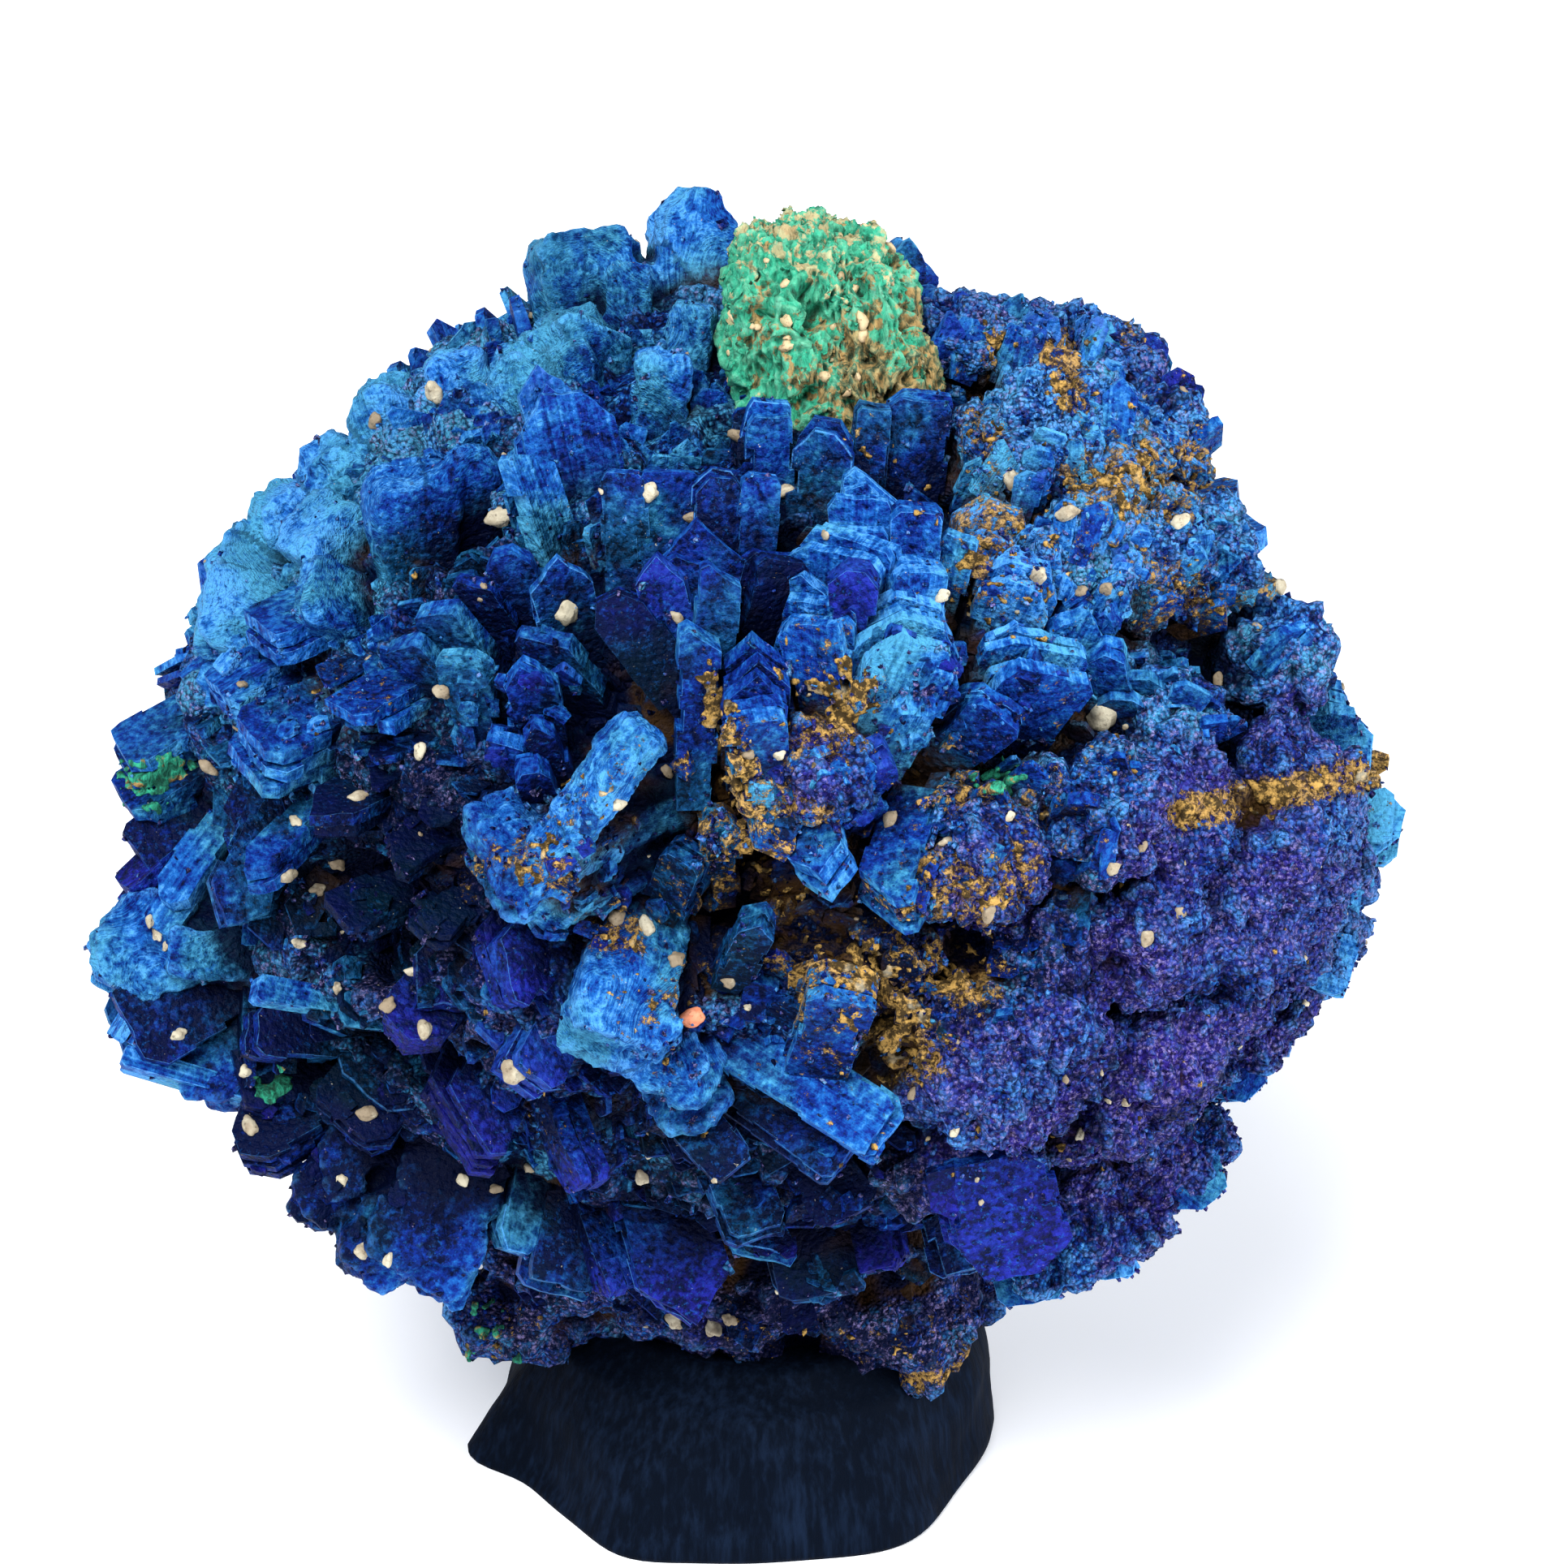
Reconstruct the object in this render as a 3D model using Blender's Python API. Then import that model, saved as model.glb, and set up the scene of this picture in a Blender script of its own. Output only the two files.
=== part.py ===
"""Azurite rosette with a malachite tuft, standing on a squat lump of dark mounting putty.

Three solids: azurite_rosette, one body of tabular crystals, drusy swellings and a stub fused
to a round core; malachite_tuft, the green block on its top; and putty_stand, the lump
that holds it. The origin is on the floor under the middle of the specimen. Tables are in
millimetres and degrees, and the frame is in metres with +Z up and the front at -Y.

The crystals are laid out as the front of the specimen is seen from a little above: across
is to the right, up is upwards in that view and depth comes out towards the eye.
"""

import math
import random

import bmesh
import bpy
from mathutils import Matrix, Vector, noise

MM = 0.001

# Where the front looks: up by this angle, from a finite distance.
VIEW_TILT = math.radians(28.0)
EYE_DISTANCE = 140.0
EYE_AXIS = (1.0, -0.6)

# The rosette is an ellipsoid: half sizes across, up and deep, along the view's own axes.
ROSETTE_MIDDLE = Vector((0.0, 0.0, 19.0))
SKIN_HALF = (14.8, 12.8, 14.0)
CORE_SHARE = 0.88
CORE_RIPPLE = 0.9
LEAST_DEPTH = 0.04

# The malachite tuft: its foot on the rosette's top, and its taper.
TUFT_FOOT = Vector((2.25, -3.0, 29.4))
TUFT_HALF = (2.8, 2.1)
TUFT_HEIGHT = 4.3
TUFT_TOP_SHARE = 0.66
TUFT_LEAN = (-0.7, 1.0)

# The putty stand: a round foot with pressed-out corners (angle, how far out, half width).
STAND_SIDES = 26
STAND_HEIGHT = 4.4
STAND_FOOT_RADIUS = 6.3
STAND_CORNERS = ((193.0, 1.1, 10.0), (306.0, 0.7, 17.0), (244.0, 0.45, 12.0), (50.0, 0.4, 20.0))
STAND_SHOULDER_SHARE = 0.86
STAND_SHOULDER_SHIFT = 0.6
STAND_DISH = 0.5

GAP = 0.3  # between neighbouring solids

RIGHT = Vector((1.0, 0.0, 0.0))
RISE = Vector((0.0, math.sin(VIEW_TILT), math.cos(VIEW_TILT)))
TOWARD = Vector((0.0, -math.cos(VIEW_TILT), math.sin(VIEW_TILT)))

# Outlines of a crystal's outer end, as shares of its width: (side, back from the tip).
ENDS = {
    "flat": ((-0.5, 0.2), (-0.34, 0.0), (0.42, 0.04), (0.5, 0.16)),
    "peak": ((-0.5, 0.5), (0.0, 0.0), (0.5, 0.58)),
    "round": ((-0.5, 0.36), (-0.2, 0.0), (0.24, 0.04), (0.5, 0.4)),
    "slant": ((-0.5, 0.1), (-0.3, 0.0), (0.5, 0.5)),
}
ROOT_SHARE = 0.74
UNEVEN = 0.06
DRAWN_IN = 0.93

# Tabular crystals: across, up, lift over the skin, aim of the tip (clockwise from up),
# how far it points out at the eye, roll of its broad face, width, length, thickness, end.
TOP_FAN = (
    (-4.4, 8.9, 1.0, -12, 17, 8, 2.3, 4.8, 0.8, "round"),
    (-5.3, 7.5, 0.8, -18, 17, 40, 1.2, 4.0, 0.5, "slant"),
    (-4.9, 9.5, 0.7, -12, 7, 15, 1.3, 3.5, 0.6, "peak"),
    (-2.9, 6.9, 1.0, -3, 19, -5, 1.0, 4.5, 0.6, "flat"),
    (-1.75, 7.0, 0.7, 2, 17, 5, 1.6, 4.5, 0.7, "flat"),
    (-0.5, 6.95, 1.1, 4, 19, 5, 1.15, 4.5, 0.6, "round"),
    (0.45, 6.8, 1.0, 6, 19, 8, 0.85, 4.5, 0.6, "flat"),
    (-1.1, 5.7, 1.6, -6, 25, 5, 1.8, 5.0, 0.6, "peak"),
    (-0.5, 4.7, 2.1, 6, 27, 10, 1.1, 4.5, 0.5, "slant"),
    (-2.1, 4.9, 1.7, -14, 25, -10, 1.2, 4.8, 0.5, "peak"),
    (-3.3, 3.9, 1.3, -38, 22, -15, 1.3, 4.5, 0.5, "round"),
    (-1.0, 3.2, 1.6, 3, 32, 8, 1.0, 4.5, 0.6, "slant"),
    (0.9, 5.0, 0.7, 15, 22, 25, 1.3, 4.0, 1.0, "flat"),
)
TUFT_APRON = (
    (0.65, 8.6, 0.5, 0, 19, 5, 1.1, 4.0, 0.8, "flat"),
    (2.0, 8.15, 0.6, 3, 19, -8, 1.35, 4.2, 0.8, "round"),
    (3.15, 8.5, 0.5, 5, 19, 5, 0.9, 4.2, 0.7, "flat"),
    (4.35, 8.8, 0.6, 6, 19, 8, 1.45, 4.2, 0.8, "flat"),
    (3.4, 6.9, 0.6, 8, 21, 10, 1.9, 3.5, 0.6, "slant"),
    (2.8, 6.2, 1.0, 2, 26, 0, 1.4, 4.0, 0.8, "flat"),
    (4.2, 6.1, 1.0, 6, 26, 8, 1.25, 4.0, 0.8, "flat"),
    (2.5, 5.3, 1.2, 5, 29, -18, 2.3, 4.5, 1.6, "flat"),
    (2.7, 4.7, 2.1, 5, 33, 5, 1.1, 3.8, 0.8, "round"),
    (4.3, 4.7, 1.3, 12, 31, 15, 1.3, 3.8, 1.2, "flat"),
    (4.3, 3.6, 2.0, 25, 39, 25, 2.7, 4.5, 1.9, "round"),
    (1.7, 3.6, 1.4, -10, 36, -20, 1.7, 4.0, 1.3, "flat"),
)
MIDDLE = (
    (0.35, 2.6, 1.7, 2, 48, 8, 1.5, 4.5, 1.2, "peak"),
    (0.3, 1.25, 1.6, -4, 50, 10, 1.3, 4.0, 0.9, "flat"),
    (0.85, -2.4, 0.6, 165, 20, -25, 0.8, 4.5, 0.6, "slant"),
    (-2.4, 0.9, 0.8, 36, 8, -30, 1.4, 5.0, 1.6, "flat"),
    (-6.3, -2.9, 0.9, -112, 22, 35, 2.6, 5.0, 2.2, "flat"),
    (-3.2, -7.1, 1.0, 192, 30, -10, 2.6, 4.2, 2.0, "flat"),
    (-1.4, -8.7, 1.0, 175, 28, 10, 1.9, 4.0, 1.8, "round"),
    (0.5, -3.7, 0.4, 30, 55, 20, 0.9, 3.0, 0.7, "peak"),
    (2.0, -3.2, 1.0, 170, 35, 15, 1.3, 3.2, 1.1, "peak"),
    (3.3, -3.8, 0.9, 200, 35, 20, 1.5, 3.2, 1.2, "slant"),
    (2.5, -5.3, 0.8, 20, 50, 10, 1.6, 3.5, 1.2, "flat"),
    (-1.3, -2.2, -0.8, 20, 50, -15, 1.0, 3.0, 0.8, "flat"),
    (-0.6, -1.2, -0.6, 0, 50, 10, 0.9, 3.0, 0.8, "round"),
    (3.5, 0.3, 0.7, 40, 45, 50, 1.0, 3.0, 0.9, "peak"),
)
LEFT_OF_MIDDLE = (
    (-5.8, 5.0, 0.2, -25, 32, -15, 1.1, 4.0, 0.5, "round"),
    (-4.5, 4.95, 0.6, -10, 35, 5, 1.4, 4.2, 0.6, "peak"),
    (-6.6, 4.4, 0.2, -35, 32, -35, 1.0, 3.8, 0.5, "slant"),
    (-7.4, 3.6, 0.3, -40, 32, -45, 1.3, 3.8, 0.5, "flat"),
    (-8.2, 2.8, 0.2, -45, 30, -45, 1.2, 3.6, 0.5, "flat"),
    (-5.0, 3.1, 0.7, -40, 38, -40, 1.2, 3.8, 0.5, "slant"),
    (-5.3, 2.4, 0.9, -12, 40, -5, 1.2, 4.0, 0.6, "peak"),
    (-6.8, 2.7, 0.5, -15, 38, -20, 1.1, 4.0, 0.7, "flat"),
    (-5.0, 0.9, 0.8, -20, 45, -10, 0.8, 3.5, 0.5, "peak"),
    (-5.8, 0.6, 0.6, -30, 42, -30, 0.9, 3.5, 0.5, "slant"),
    (-5.1, -0.1, 0.6, -20, 50, -10, 0.9, 3.2, 0.6, "round"),
    (-5.5, -1.2, 0.2, -60, 45, 20, 1.3, 3.2, 0.6, "flat"),
)
UPPER_LEFT = (
    (-8.0, 6.95, 0.5, -5, 32, 10, 2.3, 5.0, 1.6, "flat"),
    (-6.5, 7.65, 0.2, 3, 30, 12, 1.3, 4.2, 0.8, "round"),
    (-8.8, 9.15, 0.2, -20, 12, -10, 1.9, 4.5, 1.8, "round"),
    (-7.0, 9.85, 0.1, -15, 12, 5, 1.4, 4.0, 1.4, "flat"),
    (-10.3, 7.7, 0.0, -35, 12, -10, 1.7, 4.2, 1.5, "round"),
    (-11.5, 6.5, 0.1, -45, 12, 5, 1.8, 4.2, 1.5, "round"),
    (-12.6, 5.2, 0.1, -60, 10, 15, 2.3, 5.0, 2.2, "round"),
    (-13.1, 3.6, 0.2, -80, 10, 10, 2.1, 5.0, 2.0, "flat"),
    (-10.4, 6.0, 0.3, -40, 30, 20, 1.8, 4.0, 1.5, "flat"),
    (-10.6, 4.2, 0.2, -60, 30, 40, 2.0, 4.2, 0.9, "flat"),
)
BACK_PEAKS = (
    (-4.0, 12.75, 0.3, -8, 4, 10, 2.6, 5.5, 2.4, "flat"),
    (-1.05, 13.7, 0.3, 8, 4, 15, 2.0, 6.0, 1.9, "round"),
    (-2.7, 12.0, -0.3, 0, 5, 0, 1.2, 4.5, 1.5, "flat"),
    (-3.8, 10.9, 0.2, -5, 18, 15, 1.7, 4.5, 1.4, "slant"),
    (-1.2, 10.95, 0.1, 5, 18, -10, 1.2, 4.0, 1.0, "flat"),
    (-1.9, 9.85, 0.2, 3, 22, 10, 1.3, 4.0, 1.0, "flat"),
    (-4.7, 10.6, 0.0, -25, 8, -25, 2.0, 5.0, 1.8, "flat"),
    (-5.7, 9.9, 0.1, -20, 12, -10, 1.3, 4.0, 1.3, "round"),
    (3.9, 12.55, 0.2, 6, 5, 15, 1.5, 5.0, 1.3, "peak"),
    (5.0, 11.3, 0.1, 15, 6, 20, 1.3, 4.5, 1.3, "slant"),
)
SHINGLES = (
    (-15.1, 0.1, 0.2, -122, 10, 50, 2.4, 6.5, 0.9, "flat"),
    (-14.9, -1.2, 0.0, -122, 12, 50, 2.4, 6.0, 0.8, "flat"),
    (-15.0, -3.5, 0.3, -125, 15, 55, 2.2, 6.5, 0.8, "flat"),
    (-14.0, -4.1, 1.2, -130, 22, 60, 2.4, 7.0, 0.8, "flat"),
    (-11.8, -3.0, 1.2, -125, 28, 55, 1.8, 4.5, 0.7, "peak"),
    (-11.8, 0.2, 1.1, -110, 28, 45, 2.2, 5.0, 1.6, "flat"),
    (-15.8, -4.8, 0.1, -100, 5, 10, 2.6, 5.0, 2.2, "round"),
    (-14.9, -6.6, 0.5, -118, 18, 5, 2.3, 5.5, 2.0, "flat"),
    (-13.9, -4.9, 1.0, -98, 25, 40, 1.8, 4.5, 1.2, "flat"),
    (-11.9, -5.7, 1.2, -95, 30, 45, 1.2, 4.0, 0.7, "flat"),
    (-12.0, -6.6, 1.0, -95, 28, 35, 1.4, 4.0, 0.9, "flat"),
    (-13.1, -7.9, 0.1, -122, 6, 20, 1.8, 5.0, 1.4, "round"),
    (-12.2, -7.9, 0.5, -105, 22, 15, 1.8, 4.5, 1.5, "flat"),
    (-12.6, 1.4, 0.3, -118, 18, 55, 2.0, 5.0, 0.8, "flat"),
    (-11.6, 2.8, 0.4, -115, 25, 55, 2.0, 4.5, 0.8, "flat"),
    (-9.6, 0.9, 0.6, -120, 35, 50, 1.6, 4.0, 0.8, "flat"),
    (-10.4, -1.6, 0.6, -115, 35, 50, 1.5, 4.0, 0.7, "peak"),
    (-8.6, -2.6, 0.2, -120, 40, 30, 1.5, 3.5, 0.8, "slant"),
    (-9.8, -3.9, 0.5, -110, 35, 40, 1.8, 4.0, 0.8, "flat"),
    (-7.6, -4.2, 0.2, -130, 42, 20, 1.4, 3.5, 0.9, "flat"),
)
LOWER_LEFT = (
    (-8.2, -13.1, 0.3, 200, 6, -10, 3.0, 5.0, 2.0, "round"),
    (-9.7, -11.8, 0.1, 215, 8, 0, 1.8, 4.5, 1.6, "flat"),
    (-10.6, -10.8, 0.2, 222, 10, 10, 2.0, 4.5, 1.5, "flat"),
    (-12.0, -9.4, 0.2, 235, 10, 25, 2.0, 5.0, 1.2, "flat"),
    (-7.0, -9.4, 0.7, 205, 28, -10, 2.2, 4.5, 1.6, "slant"),
    (-7.4, -11.0, 0.4, 200, 20, 0, 1.7, 4.0, 1.2, "flat"),
    (-8.3, -6.6, 0.6, 225, 35, 10, 1.8, 4.0, 1.4, "round"),
    (-6.0, -5.6, 0.5, 215, 35, -20, 1.6, 4.0, 1.2, "slant"),
    (-5.2, -7.8, 0.6, 205, 30, -25, 1.5, 4.0, 1.2, "flat"),
    (-9.6, -8.9, 0.3, 220, 22, 10, 2.4, 4.0, 1.4, "flat"),
)
LOWER_PLATES = (
    (3.5, -9.1, 1.2, 128, 12, -20, 2.3, 5.2, 0.9, "flat"),
    (2.7, -9.9, 0.4, 128, 15, -10, 2.2, 4.5, 0.8, "flat"),
    (-0.2, -10.5, 0.9, 150, 15, -15, 2.2, 4.5, 0.8, "flat"),
    (0.6, -11.5, 0.6, 150, 18, -15, 1.6, 3.5, 0.7, "flat"),
    (-1.2, -13.6, 0.9, 178, 10, 5, 2.7, 5.6, 1.2, "peak"),
    (1.8, -13.0, 0.3, 165, 12, -5, 2.4, 4.5, 1.2, "flat"),
    (3.4, -12.3, 0.7, 165, 15, 20, 1.1, 3.0, 0.9, "flat"),
    (5.6, -12.4, 0.1, 165, 8, 0, 2.0, 4.0, 1.4, "flat"),
    (-3.0, -13.0, 0.4, 185, 12, -10, 1.6, 5.0, 1.2, "round"),
    (-4.4, -12.7, 0.2, 190, 10, -15, 2.0, 4.5, 1.4, "flat"),
    (-4.1, -9.5, 0.5, 200, 25, -30, 1.6, 5.0, 1.3, "slant"),
    (-5.4, -11.8, 0.5, 195, 15, -20, 1.3, 4.0, 1.0, "round"),
)
RIGHT_SIDE = (
    (7.4, 2.6, 0.9, 35, 42, 35, 2.4, 4.0, 1.4, "flat"),
    (6.2, 1.3, 0.9, 55, 45, 30, 1.6, 3.6, 0.7, "flat"),
    (6.3, 6.1, 0.5, 20, 32, 15, 1.9, 3.8, 1.3, "round"),
    (6.9, 4.8, 0.7, 25, 38, 15, 2.0, 3.8, 1.4, "round"),
    (5.3, 5.5, 0.5, 15, 35, 0, 0.9, 3.5, 0.9, "flat"),
    (8.3, 3.8, 0.5, 30, 38, 30, 1.6, 3.8, 1.0, "peak"),
    (9.6, 2.3, 0.5, 60, 35, 40, 2.0, 3.8, 0.8, "slant"),
    (10.2, 1.6, 0.4, 65, 35, 50, 2.2, 3.8, 0.7, "flat"),
    (13.7, 3.3, 0.3, 50, 12, 60, 1.8, 4.5, 0.7, "flat"),
    (15.2, 0.9, 0.5, 78, 13, 55, 3.0, 5.5, 1.0, "slant"),
    (15.85, -1.9, 0.4, 95, 12, -12, 4.6, 7.0, 2.6, "round"),
    (15.1, -4.5, 0.3, 112, 10, -5, 2.8, 5.5, 2.0, "round"),
    (13.6, -6.2, 0.3, 116, 14, -8, 3.2, 5.5, 2.2, "flat"),
    (12.2, -7.8, 0.2, 130, 12, 0, 1.8, 4.5, 1.8, "flat"),
    (7.6, -11.6, 0.6, 140, 15, -10, 2.8, 5.0, 1.6, "flat"),
    (7.7, -13.2, 0.2, 172, 5, 5, 3.4, 4.5, 1.6, "round"),
    (9.6, -11.9, 0.2, 142, 6, 0, 2.6, 4.5, 1.6, "flat"),
    (11.0, -10.6, 0.2, 130, 6, 0, 1.8, 4.5, 1.4, "round"),
)
CRYSTALS = (
    TOP_FAN + TUFT_APRON + MIDDLE + LEFT_OF_MIDDLE + UPPER_LEFT + BACK_PEAKS
    + SHINGLES + LOWER_LEFT + LOWER_PLATES + RIGHT_SIDE
)

# Drusy swellings: across, up, how deep the middle lies under the skin, then the half
# sizes across, upwards and outwards.
SWELLINGS = (
    (5.4, 10.1, 0.6, 1.3, 1.2, 1.2), (6.8, 9.8, 0.7, 1.5, 1.3, 1.4),
    (8.4, 9.1, 0.8, 1.6, 1.7, 1.6), (9.5, 7.2, 0.8, 1.5, 1.6, 1.7),
    (7.6, 7.2, 0.8, 2.7, 1.9, 2.0), (8.8, 5.0, 0.7, 2.6, 1.7, 1.8),
    (10.7, 5.1, 0.6, 1.5, 1.5, 1.6), (12.6, 2.7, 0.5, 1.5, 1.6, 1.6),
    (8.6, -1.2, 0.2, 1.7, 1.4, 1.4), (9.9, -4.4, 0.2, 2.0, 1.2, 1.2),
    (5.6, -2.4, 0.6, 1.7, 1.6, 1.3), (6.3, -7.0, 0.6, 2.4, 2.8, 1.6),
    (9.4, -7.4, 0.6, 2.4, 2.6, 1.6), (10.2, -9.5, 0.4, 1.5, 1.4, 1.3),
    (1.9, -0.4, 0.2, 1.3, 1.2, 1.1), (5.6, -10.4, 0.4, 2.2, 1.8, 1.2),
    (12.4, -2.8, 0.4, 3.0, 3.6, 1.8),
)
# The stub under the rosette: middle in the frame and half sizes.
STUB_LUMPS = (
    ((0.2, 0.0, 6.6), (5.6, 5.2, 3.6)),
    ((3.4, -1.9, 5.5), (3.0, 2.9, 2.3)),
    ((-4.4, -1.6, 6.2), (2.4, 2.2, 2.2)),
    ((-5.6, -2.2, 4.7), (1.5, 1.4, 1.5)),
)

# Hollows sunk in the core: across, up, then the half sizes across, upwards and inwards.
HOLLOWS = (
    (-1.0, -2.9, 1.5, 2.0, 3.0), (-9.4, -3.8, 2.6, 1.6, 2.2), (-8.6, -7.6, 2.2, 1.4, 2.0),
    (7.6, -4.6, 1.6, 1.1, 2.0), (0.8, 4.0, 1.0, 0.9, 2.0), (-7.0, 5.6, 1.2, 0.9, 1.6),
)

# Crystals on the back and underside, spread on a spiral.
BACK_SEED = 11
BACK_SPIRAL = 74
BACK_STARTS_AT = 0.12
STUB_CLEARANCE = -0.80
BACK_LEAN = 0.42
BACK_WIDTH = (4.2, 6.6)
BACK_LENGTH = (5.0, 6.5)
BACK_THICKNESS = (1.8, 3.6)
BACK_LIFT = (-0.6, 1.1)
LIMB_SINK = 2.0


def seen(across, up, depth):
    """The point in the frame at this place of the front view, corrected for perspective."""
    near = 1.0 - depth / EYE_DISTANCE
    x = EYE_AXIS[0] + (across - EYE_AXIS[0]) * near
    y = EYE_AXIS[1] + (up - EYE_AXIS[1]) * near
    return ROSETTE_MIDDLE + x * RIGHT + y * RISE + depth * TOWARD


def skin_depth(across, up):
    """How far out of the view's middle plane the rosette's skin lies there."""
    inside = 1.0 - (across / SKIN_HALF[0]) ** 2 - (up / SKIN_HALF[1]) ** 2
    return SKIN_HALF[2] * math.sqrt(max(LEAST_DEPTH, inside))


def skin_axes(across, up):
    """Unit vectors sideways, upwards and outwards on the skin there."""
    local = (across, up, skin_depth(across, up))
    axes = (RIGHT, RISE, TOWARD)
    steep = (c / h ** 2 * axis for c, h, axis in zip(local, SKIN_HALF, axes))
    outward = sum(steep, Vector()).normalized()
    sideways = RISE.cross(outward).normalized()
    return sideways, outward.cross(sideways), outward


def crystal_axes(aim, out, roll):
    """Unit vectors along a crystal's width, length and thickness."""
    aim, out, roll = (math.radians(a) for a in (aim, out, roll))
    flat = math.sin(aim) * RIGHT + math.cos(aim) * RISE
    along = math.cos(out) * flat + math.sin(out) * TOWARD
    facing = (TOWARD - TOWARD.dot(along) * along).normalized()
    normal = math.cos(roll) * facing + math.sin(roll) * along.cross(facing)
    return along.cross(normal), along, normal


def add_prism(mesh, tip, axes, width, length, thickness, end, seed):
    """A tabular crystal: its outline in the plane of width and length, made thick.

    The outer face is drawn in a little, and the outline is uneven.
    """
    side, along, normal = axes
    draw = random.Random(seed)
    half_root = ROOT_SHARE / 2
    shares = [(-half_root, length / width), *ENDS[end], (half_root, length / width)]
    uneven = [(s + draw.uniform(-UNEVEN, UNEVEN), b) for s, b in shares]
    root = tip - along * length
    low, high = -thickness / 2, thickness / 2
    verts = [mesh.verts.new(tip + width * (side * s - along * b) + normal * low) for s, b in uneven]
    grown = bmesh.ops.extrude_face_region(mesh, geom=[mesh.faces.new(verts)])["geom"]
    for vert in grown:
        if isinstance(vert, bmesh.types.BMVert):
            vert.co = root + (vert.co - normal * low - root) * DRAWN_IN + normal * high
    bmesh.ops.scale(mesh, verts=mesh.verts, vec=(MM, MM, MM))


def add_lump(mesh, middle, half, seed, axes):
    """A lumpy ball with flat facets."""
    lump = bmesh.ops.create_icosphere(mesh, subdivisions=2, radius=1.0)["verts"]
    for vert in lump:
        swell = 1.0 + 0.3 * noise.noise(vert.co * 1.7 + Vector((seed, 0.0, 0.0)))
        place = sum((vert.co[i] * half[i] * axes[i] for i in range(3)), Vector())
        vert.co = (middle + place * swell) * MM


def back_crystals():
    """Crystals for the hidden half, as (tip, axes, width, length, thickness, end)."""
    draw = random.Random(BACK_SEED)
    turn = math.pi * (3.0 - math.sqrt(5.0))
    found = []
    for i in range(BACK_SPIRAL):
        height = 1.0 - 2.0 * (i + 0.5) / BACK_SPIRAL
        ring = math.sqrt(1.0 - height * height)
        ray = Vector((ring * math.cos(i * turn), ring * math.sin(i * turn), height))
        lean = Vector([draw.uniform(-BACK_LEAN, BACK_LEAN) for _ in range(3)])
        lift, width, length, thickness = (
            draw.uniform(*limits)
            for limits in (BACK_LIFT, BACK_WIDTH, BACK_LENGTH, BACK_THICKNESS)
        )
        roll, end = draw.uniform(0.0, math.pi), draw.choice(sorted(ENDS))
        if ray.dot(TOWARD) > BACK_STARTS_AT or ray.z < STUB_CLEARANCE:
            continue
        local = (ray.dot(RIGHT), ray.dot(RISE), ray.dot(TOWARD))
        lift -= LIMB_SINK * max(0.0, 1.0 - 2.0 * abs(local[2]))
        reach = 1.0 / math.sqrt(sum((c / h) ** 2 for c, h in zip(local, SKIN_HALF)))
        along = (ray + lean).normalized()
        across = along.orthogonal().normalized()
        normal = Matrix.Rotation(roll, 3, along) @ across
        tip = ROSETTE_MIDDLE + ray * (reach + lift)
        found.append((tip, (along.cross(normal), along, normal), width, length, thickness, end))
    return found


def new_object(name, mesh, colour=None, roughness=0.6):
    """Links a bmesh as an object, its faces pointing out, with its own material."""
    bmesh.ops.recalc_face_normals(mesh, faces=mesh.faces)
    if mesh.calc_volume(signed=True) < 0.0:
        bmesh.ops.reverse_faces(mesh, faces=mesh.faces)
    data = bpy.data.meshes.new(name)
    mesh.to_mesh(data)
    mesh.free()
    made = bpy.data.objects.new(name, data)
    bpy.context.scene.collection.objects.link(made)
    if colour:
        finish = bpy.data.materials.new(name)
        finish.use_nodes = True
        shader = finish.node_tree.nodes["Principled BSDF"]
        shader.inputs["Base Color"].default_value = (*colour, 1.0)
        shader.inputs["Roughness"].default_value = roughness
        shader.inputs["Metallic"].default_value = 0.0
        data.materials.append(finish)
    return made


def hide(helper):
    helper.hide_render = True
    helper.display_type = "WIRE"
    return helper


def tuft_mesh(grow=0.0):
    """The malachite block: a tapered, lumpy box, made this much bigger all round."""
    mesh = bmesh.new()
    bmesh.ops.create_cube(mesh, size=2.0)
    bmesh.ops.subdivide_edges(mesh, edges=mesh.edges, cuts=3, use_grid_fill=True)
    for vert in mesh.verts:
        x, y, z = vert.co
        round_off = 1.0 - 0.16 * (x * x * y * y + y * y * z * z + z * z * x * x)
        level = (z * round_off + 1.0) / 2
        taper = 1.0 + (TUFT_TOP_SHARE - 1.0) * level
        ripple = 0.6 * noise.noise(vert.co * 1.9)
        out = Vector((x, y, z)).normalized()
        place = Vector((
            x * round_off * TUFT_HALF[0] * taper + TUFT_LEAN[0] * level,
            y * round_off * TUFT_HALF[1] * taper + TUFT_LEAN[1] * level,
            level * TUFT_HEIGHT,
        ))
        vert.co = (TUFT_FOOT + place + out * (ripple + grow)) * MM
    return mesh


def stand_radius(angle, sharpness):
    """The stand's radius at this angle; its corners fade towards the shoulder."""
    radius = STAND_FOOT_RADIUS + 0.12 * math.sin(3 * angle + 0.6)
    for corner, out, half in STAND_CORNERS:
        away = (math.degrees(angle) - corner + 180.0) % 360.0 - 180.0
        radius += sharpness * out * math.exp(-((away / half) ** 2))
    return radius


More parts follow.
